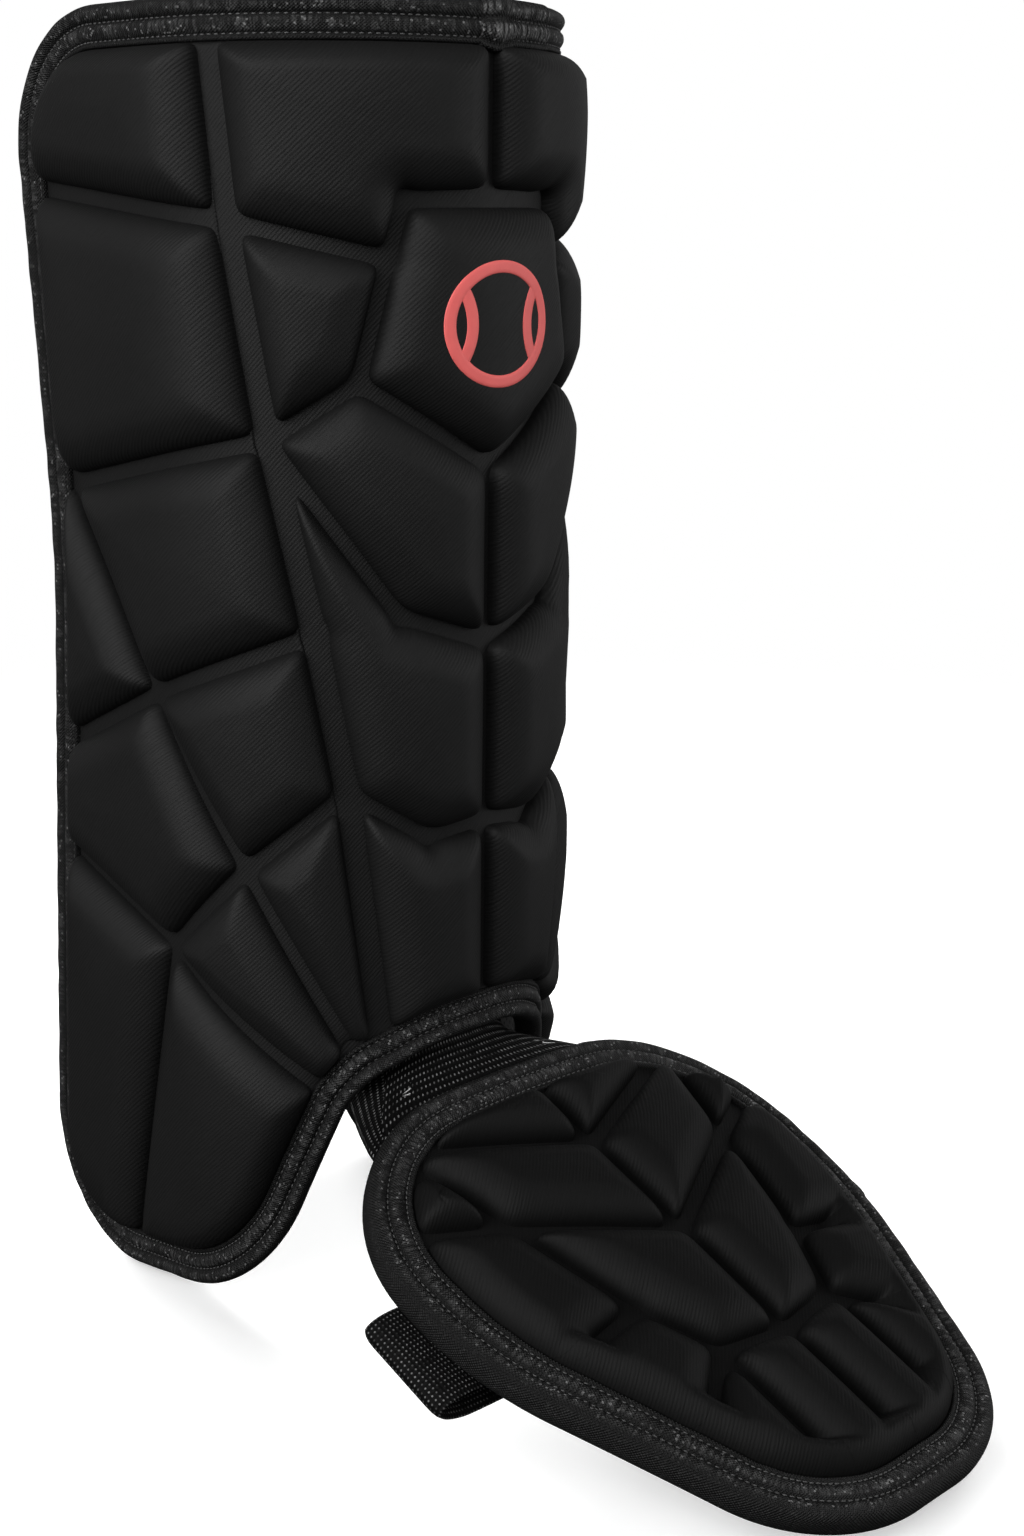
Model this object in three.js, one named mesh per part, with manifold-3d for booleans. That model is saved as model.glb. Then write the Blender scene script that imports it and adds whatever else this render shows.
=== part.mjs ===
// Batters leg guard: a moulded foam shin panel with raised pads, a smaller foot panel on an elastic
// ankle gusset, knit binding round both edges, a foot stirrup and a calf strap.
// Millimetres, +Z up the leg, front of the shin towards -Y, mirror plane X = 0.
// The origin is on the axis of the leg at half the height of the shin panel.
import * as THREE from 'three';
import Module from 'manifold-3d';

const wasm = await Module();
wasm.setup();

// Shin panel: height, girth from its front line to a side, and the leg it wraps
const PANEL_HEIGHT = 340;
const HALF_GIRTH = 150;
const LEG_RADIUS = 57.5;
const ANKLE_TAPER = 0.11;

// Foot panel: size, its place under the shin panel, its fall towards the toe and its crown
const FOOT_LENGTH = 152;
const FOOT_HALF_WIDTH = 73;
const FOOT_FORWARD = 12;
const FOOT_BELOW = 9.5;
const FOOT_SLOPE = 24;
const FOOT_CROWN_RADIUS = 310;

// Moulded foam: backing sheet and the pads that stand on it
const SHEET = 3.6;
const PAD_RISE = 7;
const PAD_SLOPE = 6.5;
const GROOVE = 2.8;
const SEAM_GROOVE = 6;

// Knit binding tape folded over each edge
const SHIN_TAPE_WIDTH = 10;
const FOOT_TAPE_WIDTH = 12;
const TAPE = 1.1;
const SEWN_GAP = 0.3;
const SLACK_GAP = 0.6;
const SLOPE_LIMIT = 0.9;

// Elastic webbing
const WEBBING = 1.8;
const GUSSET_TUCK = 8;
const GUSSET_BELOW_EDGE = 4.5;
const GUSSET_BEHIND_FOOT = 3.5;
const GUSSET_REACH = 0.23;
const GUSSET_FOOT_REACH = 0.61;
const GUSSET_COLUMNS = 5;
const STIRRUP_WIDTH = 28;
const STIRRUP_DEPTH = 10;
const STIRRUP_BULGE = 7;
const STIRRUP_PLACE = 0.39;
const STIRRUP_INNER = 0.5;
const STIRRUP_FOLD = 0.93;
const CALF_STRAP_WIDTH = 38;
const CALF_STRAP_BULGE = 27;
const CALF_STRAP_OVERLAP = 28;
const CALF_STRAP_PLACE = 0.69;
const BEND_STEPS = 12;

// Printed badge on the shield pad
const BADGE_RADIUS = 16.5;
const BADGE_LINE = 3.2;
const BADGE_FILM = 0.5;
const BADGE_PLACE = 0.776;
const BADGE_SEAM_OFFSET = 24;
const BADGE_SEAM_RADIUS = 17.5;
const CIRCLE_STEPS = 24;

// Facet widths where the sheets bend
const LEG_FACET = 18;
const FOOT_FACET = 30;
const ARC_STEP = Math.PI / 7;
const STRAIGHT_TURN = 0.02;
const WELD = 1e-5;

// Corners of half the shin outline. side: share of the half girth, up: share of the height,
// round: corner radius as a share of the height
const SHIN_CORNERS = [
  { name: 'top', side: 0.985, up: 1.0, round: 0.103 },
  { name: 'waist', side: 0.955, up: 0.6, round: 0.9 },
  { name: 'lobeOuter', side: 1.135, up: -0.008, round: 0.106 },
  { name: 'lobeInner', side: 0.47, up: 0.022, round: 0.165 },
  { name: 'archSide', side: 0.262, up: 0.209, round: 0.08 },
  { name: 'archTop', side: 0.09, up: 0.241, round: 0.15 },
];

// Where the grooves of half the shin meet, in the same shares. Values past the outline run under the tape
const SHIN_NODES = {
  centreTop: { side: 0, up: 1.04 },
  seamTop: { side: 0.486, up: 1.04 },
  cornerTop: { side: 1.12, up: 1.04 },
  edgeA: { side: 1.12, up: 0.885 },
  seamA: { side: 0.448, up: 0.852 },
  shieldTop: { side: 0, up: 0.868 },
  shoulderIn: { side: 0.159, up: 0.866 },
  shoulderOut: { side: 0.186, up: 0.826 },
  shieldSide: { side: 0.237, up: 0.74 },
  shieldTip: { side: 0, up: 0.678 },
  seamB: { side: 0.39, up: 0.7 },
  wedgeTop: { side: 0.874, up: 0.656 },
  edgeB: { side: 1.12, up: 0.775 },
  seamC: { side: 0.319, up: 0.56 },
  crossA: { side: 0.656, up: 0.504 },
  edgeC: { side: 1.14, up: 0.411 },
  elbowHigh: { side: 0.171, up: 0.572 },
  heartHigh: { side: 0, up: 0.547 },
  elbowLow: { side: 0.119, up: 0.402 },
  heartLow: { side: 0, up: 0.409 },
  seamD: { side: 0.267, up: 0.441 },
  crossB: { side: 0.456, up: 0.378 },
  crossC: { side: 0.646, up: 0.304 },
  edgeD: { side: 1.2, up: 0.398 },
  seamEnd: { side: 0.21, up: 0.24 },
  centreEnd: { side: 0, up: 0.212 },
  archB: { side: 0.269, up: 0.237 },
  archC: { side: 0.297, up: 0.198 },
  lobeEnd: { side: 0.868, up: -0.04 },
  lobeInnerOut: { side: 0.2, up: -0.04 },
  lobeOuterOut: { side: 1.25, up: -0.04 },
};

// Pads of half the shin, each by the nodes round it
const SHIN_PADS = [
  { name: 'outer top', nodes: ['cornerTop', 'seamTop', 'seamA', 'edgeA'] },
  { name: 'outer upper', nodes: ['edgeA', 'seamA', 'seamB', 'wedgeTop', 'edgeB'] },
  { name: 'outer wedge', nodes: ['edgeB', 'wedgeTop', 'crossA', 'edgeC'] },
  { name: 'outer middle', nodes: ['wedgeTop', 'seamB', 'seamC', 'crossA'] },
  { name: 'outer low', nodes: ['crossA', 'seamC', 'seamD', 'crossB'] },
  { name: 'outer side', nodes: ['edgeC', 'crossA', 'crossB', 'crossC', 'edgeD'] },
  { name: 'ankle inner', nodes: ['crossB', 'seamD', 'seamEnd', 'archB'] },
  { name: 'ankle middle', nodes: ['crossB', 'archB', 'archC', 'crossC'] },
  { name: 'lobe inner', nodes: ['crossC', 'archC', 'lobeInnerOut', 'lobeEnd'] },
  { name: 'lobe outer', nodes: ['crossC', 'lobeEnd', 'lobeOuterOut', 'edgeD'] },
  { name: 'inner top', nodes: ['seamTop', 'centreTop', 'shieldTop', 'shoulderIn', 'shoulderOut', 'seamA'] },
  { name: 'inner upper', nodes: ['seamA', 'shoulderOut', 'shieldSide', 'seamB'] },
  { name: 'knee upper', nodes: ['seamB', 'shieldSide', 'shieldTip', 'heartHigh', 'elbowHigh'] },
  { name: 'knee lower', nodes: ['seamB', 'elbowHigh', 'heartHigh', 'heartLow', 'elbowLow', 'seamD', 'seamC'] },
  { name: 'shin bottom', nodes: ['seamD', 'elbowLow', 'heartLow', 'centreEnd', 'seamEnd'] },
];

// The shield pad lies across the mirror line: these nodes, the tip and their mirror images
const SHIELD_HALF = ['shoulderIn', 'shoulderOut', 'shieldSide'];

// Corners of half the foot outline. side: share of the half width, along: share of the length from the heel
const FOOT_CORNERS = [
  { name: 'toe', side: 0.48, along: 1.0, round: 0.2 },
  { name: 'flank', side: 0.967, along: 0.47, round: 0.65 },
  { name: 'rear', side: 1.0, along: 0.0, round: 0.3 },
];

// Where the grooves of half the foot meet, in the same shares
const FOOT_NODES = {
  axisHeel: { side: 0, along: -0.06 },
  axisA: { side: 0, along: 0.21 },
  axisB: { side: 0, along: 0.432 },
  axisC: { side: 0, along: 0.668 },
  axisToe: { side: 0, along: 1.06 },
  forkA: { side: 0.547, along: 0.289 },
  forkB: { side: 0.413, along: 0.518 },
  forkC: { side: 0.28, along: 0.647 },
  rimHeel: { side: 0.68, along: 0.07 },
  heelOut: { side: 0.68, along: -0.1 },
  rearOut: { side: 1.1, along: -0.1 },
  rimWing: { side: 1.087, along: 0.16 },
  rimMid: { side: 1.074, along: 0.561 },
  rimFront: { side: 0.82, along: 0.852 },
  frontOut: { side: 0.85, along: 1.1 },
  rimToe: { side: 0.282, along: 1.07 },
};

const FOOT_PADS = [
  { name: 'heel', nodes: ['axisHeel', 'axisA', 'rimHeel', 'heelOut'] },
  { name: 'instep', nodes: ['axisA', 'axisB', 'forkA', 'rimHeel'] },
  { name: 'wedge', nodes: ['forkA', 'rimHeel', 'rearOut', 'rimWing'] },
  { name: 'wing', nodes: ['forkA', 'rimWing', 'rimMid', 'forkB'] },
  { name: 'middle', nodes: ['forkA', 'axisB', 'axisC', 'forkC', 'forkB'] },
  { name: 'flank', nodes: ['forkB', 'rimMid', 'rimFront', 'forkC'] },
  { name: 'toe side', nodes: ['forkC', 'rimFront', 'frontOut', 'rimToe'] },
  { name: 'toe', nodes: ['forkC', 'axisC', 'axisToe', 'rimToe'] },
];

// Rounded shoulder of a pad. inward: share of the slope, high: share of the rise
const PAD_PROFILE = [
  { inward: 0, high: 0.35 },
  { inward: 0.3, high: 0.8 },
  { inward: 1, high: 1 },
];

// Plane outlines
const cross = (a, b) => a.x * b.y - a.y * b.x;

function signedArea(points) {
  return points.reduce((sum, p, i) => sum + cross(p, points[(i + 1) % points.length]) / 2, 0);
}

function counterClockwise(points) {
  return signedArea(points) > 0 ? points : [...points].reverse();
}

function mirrored(points) {
  return points.map((p) => ({ ...p, x: -p.x }));
}

// A half given from one end of the mirror line to the other, joined to its mirror image
function symmetricLoop(half) {
  return counterClockwise([...half, ...mirrored(half).reverse()]);
}

function direction(from, to) {
  return new THREE.Vector2(to.x - from.x, to.y - from.y).normalize();
}

// Corner moved inwards by one distance from the side before it and another from the side after it
function insetCorner(before, corner, after, insetBefore, insetAfter) {
  const a = direction(before, corner);
  const b = direction(corner, after);
  const inwardA = new THREE.Vector2(-a.y, a.x);
  const inwardB = new THREE.Vector2(-b.y, b.x);
  const start = new THREE.Vector2(corner.x, corner.y);
  const turn = cross(a, b);
  if (Math.abs(turn) < STRAIGHT_TURN) {
    const mean = inwardA.clone().add(inwardB).normalize();
    return start.addScaledVector(mean, (insetBefore + insetAfter) / 2);
  }
  const slide = (insetBefore * a.dot(b) - insetAfter) / turn;
  return start.addScaledVector(inwardA, insetBefore).addScaledVector(a, slide);
}

function insetPolygon(points, insets) {
  const count = points.length;
  return points.map((p, i) => {
    const last = (i + count - 1) % count;
    return insetCorner(points[last], p, points[(i + 1) % count], insets[last], insets[i]);
  });
}

// Arc at one corner of an outline, drawn for the outline moved inwards by an inset
function cornerArc(before, corner, after, inset) {
  const a = direction(before, corner);
  const b = direction(corner, after);
  const turn = Math.atan2(cross(a, b), a.dot(b));
  const side = Math.sign(turn);
  const centre = insetCorner(before, corner, after, side * corner.radius, side * corner.radius);
  const reach = corner.radius - side * inset;
  const steps = Math.ceil(Math.abs(turn) / ARC_STEP);
  return Array.from({ length: steps + 1 }, (_, i) => {
    const spoke = new THREE.Vector2(a.y, -a.x).multiplyScalar(side * reach);
    return spoke.rotateAround(new THREE.Vector2(), (turn * i) / steps).add(centre);
  });
}

// Rounded outline moved inwards by an inset. Every inset of one outline gives as many points
function roundedOutline(corners, inset) {
  const count = corners.length;
  return corners.flatMap((corner, i) => (
    cornerArc(corners[(i + count - 1) % count], corner, corners[(i + 1) % count], inset)
  ));
}

// Height of an outline above or below one place across it; pick is Math.min or Math.max
function edgeAt(outline, x, pick) {
  const heights = outline.flatMap((a, i) => {
    const b = outline[(i + 1) % outline.length];
    const crosses = (a.x - x) * (b.x - x) <= 0 && a.x !== b.x;
    return crosses ? [a.y + ((b.y - a.y) * (x - a.x)) / (b.x - a.x)] : [];
  });
  return pick(...heights);
}

// Closed meshes, held as lists of points and triangles
function signedVolume({ points, triangles }) {
  return triangles.reduce((sum, [a, b, c]) => (
    sum + points[a].dot(points[b].clone().cross(points[c])) / 6
  ), 0);
}

function facingOut(mesh) {
  if (signedVolume(mesh) > 0) return mesh;
  return { points: mesh.points, triangles: mesh.triangles.map(([a, b, c]) => [a, c, b]) };
}

function quad(a, b, c, d) {
  return [[a, b, c], [a, c, d]];
}

// Solid through rings of as many points each, capped at the first and the last
function loft(rings) {
  const count = rings[0].length;
  const walls = rings.slice(1).flatMap((_, r) => rings[0].flatMap((__, i) => {
    const next = (i + 1) % count;
    return quad(r * count + i, r * count + next, (r + 1) * count + next, (r + 1) * count + i);
  }));
  const cap = (ring) => THREE.ShapeUtils.triangulateShape(ring.map((p) => new THREE.Vector2(p.x, p.y)), []);
  const lastRing = (rings.length - 1) * count;
  const bottom = cap(rings[0]).map(([a, b, c]) => [a, c, b]);
  const top = cap(rings[rings.length - 1]).map((face) => face.map((i) => lastRing + i));
  return facingOut({ points: rings.flat(), triangles: [...walls, ...bottom, ...top] });
}

function ringAt(outline, height) {
  return outline.map((p) => new THREE.Vector3(p.x, p.y, height));
}

// Closed sleeve: each section is a loop of points, and the last section joins the first
function sleeve(sections) {
  const count = sections[0].length;
  const triangles = sections.flatMap((section, s) => section.flatMap((_, i) => {
    const next = (i + 1) % count;
    const after = (s + 1) % sections.length;
    return quad(s * count + i, s * count + next, after * count + next, after * count + i);
  }));
  return facingOut({ points: sections.flat(), triangles });
}

// Sheet of even thickness about a grid of points
function thickSheet(grid, thickness) {
  const rows = grid.length;
  const columns = grid[0].length;
  const at = (i, j) => grid[THREE.MathUtils.clamp(i, 0, rows - 1)][THREE.MathUtils.clamp(j, 0, columns - 1)];
  const normal = (i, j) => {
    const down = at(i + 1, j).clone().sub(at(i - 1, j));
    return down.cross(at(i, j + 1).clone().sub(at(i, j - 1))).normalize();
  };
  const face = (side) => grid.flatMap((row, i) => row.map((p, j) => (
    p.clone().addScaledVector(normal(i, j), (side * thickness) / 2)
  )));
  const front = (i, j) => i * columns + j;
  const back = (i, j) => rows * columns + i * columns + j;
  const triangles = [];
  for (let i = 0; i < rows - 1; i += 1) {
    for (let j = 0; j < columns - 1; j += 1) {
      triangles.push(...quad(front(i, j), front(i + 1, j), front(i + 1, j + 1), front(i, j + 1)));
      triangles.push(...quad(back(i, j), back(i, j + 1), back(i + 1, j + 1), back(i + 1, j)));
    }
    triangles.push(...quad(front(i, 0), back(i, 0), back(i + 1, 0), front(i + 1, 0)));
    const j = columns - 1;
    triangles.push(...quad(front(i + 1, j), back(i + 1, j), back(i, j), front(i, j)));
  }
  for (let j = 0; j < columns - 1; j += 1) {
    triangles.push(...quad(front(0, j + 1), back(0, j + 1), back(0, j), front(0, j)));
    const i = rows - 1;
    triangles.push(...quad(front(i, j), back(i, j), back(i, j + 1), front(i, j + 1)));
  }
  return facingOut({ points: [...face(1), ...face(-1)], triangles });
}

function toSolid({ points, triangles }) {
  return new wasm.Manifold(new wasm.Mesh({
    numProp: 3,
    vertProperties: new Float32Array(points.flatMap((p) => p.toArray())),
    triVerts: new Uint32Array(triangles.flat()),
  }));
}

function fromSolid(solid) {
  const { vertProperties, triVerts } = solid.getMesh();
  const points = [];
  const triangles = [];
  for (let i = 0; i < vertProperties.length; i += 3) {
    points.push(new THREE.Vector3().fromArray(vertProperties, i));
  }
  for (let i = 0; i < triVerts.length; i += 3) {
    triangles.push([triVerts[i], triVerts[i + 1], triVerts[i + 2]]);
  }
  return { points, triangles };
}

function joined(meshes) {
  return meshes.map(toSolid).reduce((all, one) => all.add(one));
}

// Splits each triangle where a plane across one axis passes, so that the mesh can bend there
function splitAt(mesh, axis, place) {
  const points = [...mesh.points];
  const side = points.map((p) => {
    const off = p[axis] - place;
    return Math.abs(off) < WELD ? 0 : Math.sign(off);
  });
  const cuts = new Map();
  const cutPoint = (a, b) => {
    const key = a < b ? `${a} ${b}` : `${b} ${a}`;
    if (!cuts.has(key)) {
      const share = (place - points[a][axis]) / (points[b][axis] - points[a][axis]);
      cuts.set(key, points.push(points[a].clone().lerp(points[b], share)) - 1);
    }
    return cuts.get(key);
  };
  const triangles = mesh.triangles.flatMap((triangle) => {
    const ring = triangle.flatMap((a, i) => {
      const b = triangle[(i + 1) % 3];
      return side[a] * side[b] < 0 ? [a, cutPoint(a, b)] : [a];
    });
    if (ring.length === 3) return [triangle];
    const first = ring.findIndex((vertex) => vertex >= mesh.points.length);
    return fan(ring.map((_, i) => ring[(first + i) % ring.length]));
  });
  return { points, triangles };
}

function fan(ring) {
  return ring.slice(2).map((vertex, i) => [ring[0], ring[i + 1], vertex]);
}

function splitAlong(mesh, axis, places) {
  return places.reduce((result, place) => splitAt(result, axis, place), mesh);
}

function bent(mesh, bend) {
  return { points: mesh.points.map((p) => bend(p.x, p.y, p.z)), triangles: mesh.triangles };
}

function toMesh(name, mesh, material) {
  const geometry = new THREE.BufferGeometry().setFromPoints(mesh.points);
  geometry.setIndex(mesh.triangles.flat());
  const result = new THREE.Mesh(geometry, material);
  result.name = name;
  return result;
}

// The leg's bend: a half round front in even facets, straight sides behind it, narrower at the ankle
const QUARTER = (Math.PI / 2) * LEG_RADIUS;
const LEG_FACETS = Math.round(QUARTER / LEG_FACET);
const LEG_STEP = QUARTER / LEG_FACETS;
const LEG_SPLITS = Array.from({ length: 2 * LEG_FACETS + 1 }, (_, i) => (i - LEG_FACETS) * LEG_STEP);

function legTaper(up) {
  return 1 - ANKLE_TAPER * (0.5 - up / PANEL_HEIGHT);
}

function legSection(across) {
  const reach = Math.abs(across);
  const side = across < 0 ? -1 : 1;
  if (reach >= QUARTER) {
    return { point: new THREE.Vector2(side * LEG_RADIUS, reach - QUARTER), normal: new THREE.Vector2(side, 0) };
  }
  const facet = Math.floor(reach / LEG_STEP);
  const spoke = (i) => {
    const angle = (i * LEG_STEP) / LEG_RADIUS;
    return new THREE.Vector2(side * Math.sin(angle), -Math.cos(angle));
  };
  const normal = spoke(facet).lerp(spoke(facet + 1), reach / LEG_STEP - facet);
  return { point: normal.clone().multiplyScalar(LEG_RADIUS), normal };
}

// Place on the shin: across the front from its mid line, up the leg, and out from the sheet's face
function onShin(across, up, out) {
  const { point, normal } = legSection(across);
  const place = point.multiplyScalar(legTaper(up)).addScaledVector(normal, out);
  return new THREE.Vector3(place.x, place.y, up);
}

// The foot panel's crown, in its own frame with the toe towards -Y
const FOOT_SPLITS = [-2, -1, 0, 1, 2].map((i) => i * FOOT_FACET);

function footCrown(across) {
  const drop = (x) => FOOT_CROWN_RADIUS - Math.sqrt(FOOT_CROWN_RADIUS ** 2 - x ** 2);
  const facet = Math.floor(Math.abs(across) / FOOT_FACET);
  const share = Math.abs(across) / FOOT_FACET - facet;
  return THREE.MathUtils.lerp(drop(facet * FOOT_FACET), drop((facet + 1) * FOOT_FACET), share);
}

function onFoot(across, along, out) {
  return new THREE.Vector3(across, along, out - footCrown(across));
}

// Outlines of both panels
const shinCorners = symmetricLoop(SHIN_CORNERS.map((c) => ({
  x: c.side * HALF_GIRTH,
  y: (c.up - 0.5) * PANEL_HEIGHT,
  radius: c.round * PANEL_HEIGHT,
})));
const footCorners = symmetricLoop(FOOT_CORNERS.map((c) => ({
  x: c.side * FOOT_HALF_WIDTH,
  y: -c.along * FOOT_LENGTH,
  radius: c.round * FOOT_LENGTH,
})));
const shinOutline = roundedOutline(shinCorners, 0);
const footOutline = roundedOutline(footCorners, 0);

// The foot panel hangs in front of the arch cut in the foot of the shin panel
const archTop = edgeAt(shinOutline, 0, Math.min);
const heelPlace = onShin(0, archTop, FOOT_FORWARD).setZ(archTop - FOOT_BELOW);
const footTurn = THREE.MathUtils.degToRad(FOOT_SLOPE);
const footFrame = new THREE.Matrix4().makeRotationX(footTurn).setPosition(heelPlace);

function footToLeg(across, along, out) {
  return onFoot(across, along, out).applyMatrix4(footFrame);
}

// Pads: prisms with rounded shoulders, one inside each loop of grooves
function shinNode(name) {
  const { side, up } = SHIN_NODES[name];
  return { name, x: side * HALF_GIRTH, y: (up - 0.5) * PANEL_HEIGHT };
}

function footNode(name) {
  const { side, along } = FOOT_NODES[name];
  return { name, x: side * FOOT_HALF_WIDTH, y: -along * FOOT_LENGTH };
}

function grooveInsets(loop) {
  const onSeam = (node) => node.name.startsWith('seam');
  return loop.map((node, i) => {
    const wide = onSeam(node) && onSeam(loop[(i + 1) % loop.length]);
    return (wide ? SEAM_GROOVE : GROOVE) / 2;
  });
}

// The slope stops short of the width at which the shortest side of the pad's top would vanish
function padSlope(loop, insets) {
  const lengths = (slope) => {
    const ring = insetPolygon(loop, insets.map((inset) => inset + slope));
    return ring.map((p, i) => p.distanceTo(ring[(i + 1) % ring.length]));
  };
  const atFoot = lengths(0);
  const limits = lengths(1).map((length, i) => (
    length < atFoot[i] ? atFoot[i] / (atFoot[i] - length) : Infinity
  ));
  return Math.min(PAD_SLOPE, SLOPE_LIMIT * Math.min(...limits));
}

function padRings(ringInside) {
  const foot = ringAt(ringInside(0), -SHEET / 2);
  return [foot, ...PAD_PROFILE.map((row) => ringAt(ringInside(row.inward), row.high * PAD_RISE))];
}

function padMesh(nodes) {
  const loop = counterClockwise(nodes);
  const insets = grooveInsets(loop);
  const slope = padSlope(loop, insets);
  return loft(padRings((inward) => insetPolygon(loop, insets.map((inset) => inset + inward * slope))));
}

function padMeshes(pads, node) {
  const halves = pads.map((pad) => pad.nodes.map(node));
  return [...halves, ...halves.map(mirrored)].map(padMesh);
}

// Sheet with its pads, flat: the pads end where the binding tape begins
function flatPanel(corners, tapeWidth, pads) {
  const sheet = loft([ringAt(roundedOutline(corners, 0), -SHEET), ringAt(roundedOutline(corners, 0), 0)]);
  const rim = tapeWidth + GROOVE / 2;
  const limit = loft(padRings((inward) => roundedOutline(corners, rim + inward * PAD_SLOPE)));
  return fromSolid(toSolid(sheet).add(joined(pads).intersect(toSolid(limit))));
}

// Binding: a tape folded over the edge of the sheet, flat
function flatBinding(corners, width) {
  const out = SEWN_GAP + TAPE;
  const profile = [
    { inset: width, height: SEWN_GAP },
    { inset: width, height: out },
    { inset: 0, height: out },
    { inset: -out, height: 0 },
    { inset: -out, height: -SHEET },
    { inset: 0, height: -SHEET - out },
    { inset: width, height: -SHEET - out },
    { inset: width, height: -SHEET - SEWN_GAP },
    { inset: -SEWN_GAP, height: -SHEET - SEWN_GAP },
    { inset: -SEWN_GAP, height: SEWN_GAP },
  ];
  const rings = profile.map((row) => ringAt(roundedOutline(corners, row.inset), row.height));
  return sleeve(rings[0].map((_, i) => rings.map((ring) => ring[i])));
}

function shieldPad() {
  const half = SHIELD_HALF.map(shinNode);
  return padMesh([...half, shinNode('shieldTip'), ...mirrored(half).reverse()]);
}

function shinPanel() {
  const pads = [...padMeshes(SHIN_PADS, shinNode), shieldPad()];
  const flat = flatPanel(shinCorners, SHIN_TAPE_WIDTH, pads);
  return bent(splitAlong(flat, 'x', LEG_SPLITS), onShin);
}

function shinBinding() {
  const flat = flatBinding(shinCorners, SHIN_TAPE_WIDTH);
  return bent(splitAlong(flat, 'x', LEG_SPLITS), onShin);
}

function footSheet(flat) {
  return bent(splitAlong(flat, 'x', FOOT_SPLITS), onFoot);
}

function footPanel() {
  return footSheet(flatPanel(footCorners, FOOT_TAPE_WIDTH, padMeshes(FOOT_PADS, footNode)));
}

function footBinding() {
  return footSheet(flatBinding(footCorners, FOOT_TAPE_WIDTH));
}

// Elastic gusset: sewn inside the arch, it runs forward and down to the underside of the foot panel
function ankleElastic() {
  const out = SEWN_GAP + TAPE;
  const inShin = -(SHEET + out + SEWN_GAP + WEBBING / 2);
  const underFoot = -(SHEET + out + SLACK_GAP + WEBBING / 2);
  const columns = Array.from({ length: 2 * GUSSET_COLUMNS + 1 }, (_, i) => i / GUSSET_COLUMNS - 1);
  const row = (place) => columns.map((share) => {
    const shinAcross = share * GUSSET_REACH * HALF_GIRTH;
    const footAcross = share * GUSSET_FOOT_REACH * FOOT_HALF_WIDTH;
    return place(shinAcross, edgeAt(shinOutline, shinAcross, Math.min),
      footAcross, edgeAt(footOutline, footAcross, Math.max));
  });
  const grid = [
    row((s, edge) => onShin(s, edge + GUSSET_TUCK, inShin)),
    row((s, edge) => onShin(s, edge - GUSSET_BELOW_EDGE, inShin)),
    row((s, _, f, heel) => footToLeg(f, heel + GUSSET_BEHIND_FOOT, underFoot)),
    row((s, _, f, heel) => footToLeg(f, heel - GUSSET_TUCK, underFoot)),
  ];
  return thickSheet(grid, WEBBING);
}

// Stirrup: both ends sewn under the foot panel, out past its rims, folded and back beneath it
function stirrupStrap() {
  const underFoot = -(SHEET + SEWN_GAP + TAPE + SLACK_GAP + WEBBING / 2);
  const fold = STIRRUP_FOLD * FOOT_HALF_WIDTH;
  const topRun = [STIRRUP_INNER, (STIRRUP_INNER + STIRRUP_FOLD) / 2, STIRRUP_FOLD].map((share) => {
    const across = share * FOOT_HALF_WIDTH;
    return { across, height: underFoot - footCrown(across) };
  });
  const foldTop = topRun[topRun.length - 1].height;
  const loopEnd = Array.from({ length: BEND_STEPS / 2 }, (_, i) => {
    const turn = (Math.PI * (i + 1)) / (BEND_STEPS / 2);
    return {
      across: fold + (FOOT_HALF_WIDTH + STIRRUP_BULGE - fold) * Math.sin(turn),
      height: foldTop - (STIRRUP_DEPTH * (1 - Math.cos(turn))) / 2,
    };
  });
  const half = [...topRun, ...loopEnd];
  const path = [...half, ...half.map((p) => ({ ...p, across: -p.across })).reverse()];
  const middle = -STIRRUP_PLACE * FOOT_LENGTH;
  const edges = [middle + STIRRUP_WIDTH / 2, middle - STIRRUP_WIDTH / 2];
  const grid = path.map(({ across, height }) => edges.map((along) => (
    new THREE.Vector3(across, along, height)
  )));
  return thickSheet(grid, WEBBING);
}

// Calf strap: ends sewn inside the shin panel's two sides, round the back of the calf
function calfStrap() {
  const inShin = -(SHEET + SEWN_GAP + TAPE + SEWN_GAP + WEBBING / 2);
  const sideways = shinOutline.map((p) => ({ x: p.y, y: p.x }));
  const middle = (CALF_STRAP_PLACE - 0.5) * PANEL_HEIGHT;
  const loopAt = (up) => {
    const side = edgeAt(sideways, up, Math.max);
    const start = onShin(side - CALF_STRAP_OVERLAP, up, inShin);
    const end = onShin(side + SEWN_GAP + TAPE, up, inShin);
    const back = Array.from({ length: BEND_STEPS - 1 }, (_, i) => {
      const turn = (Math.PI * (i + 1)) / BEND_STEPS;
      return new THREE.Vector3(end.x * Math.cos(turn), end.y + CALF_STRAP_BULGE * Math.sin(turn), up);
    });
    const other = [end, start].map((p) => new THREE.Vector3(-p.x, p.y, up));
    return [start, end, ...back, ...other];
  };
  const top = loopAt(middle + CALF_STRAP_WIDTH / 2);
  const bottom = loopAt(middle - CALF_STRAP_WIDTH / 2);
  return thickSheet(top.map((p, i) => [p, bottom[i]]), WEBBING);
}

// Badge: a plain ball, drawn as a ring with two seam arcs, as one film over the shield pad
function disc(across, radius) {
  const middle = (BADGE_PLACE - 0.5) * PANEL_HEIGHT;
  const outline = Array.from({ length: CIRCLE_STEPS }, (_, i) => {
    const turn = (2 * Math.PI * i) / CIRCLE_STEPS;
    return { x: across + radius * Math.cos(turn), y: middle + radius * Math.sin(turn) };
  });
  const low = PAD_RISE + SEWN_GAP;
  return toSolid(loft([ringAt(outline, low), ringAt(outline, low + BADGE_FILM)]));
}

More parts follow.
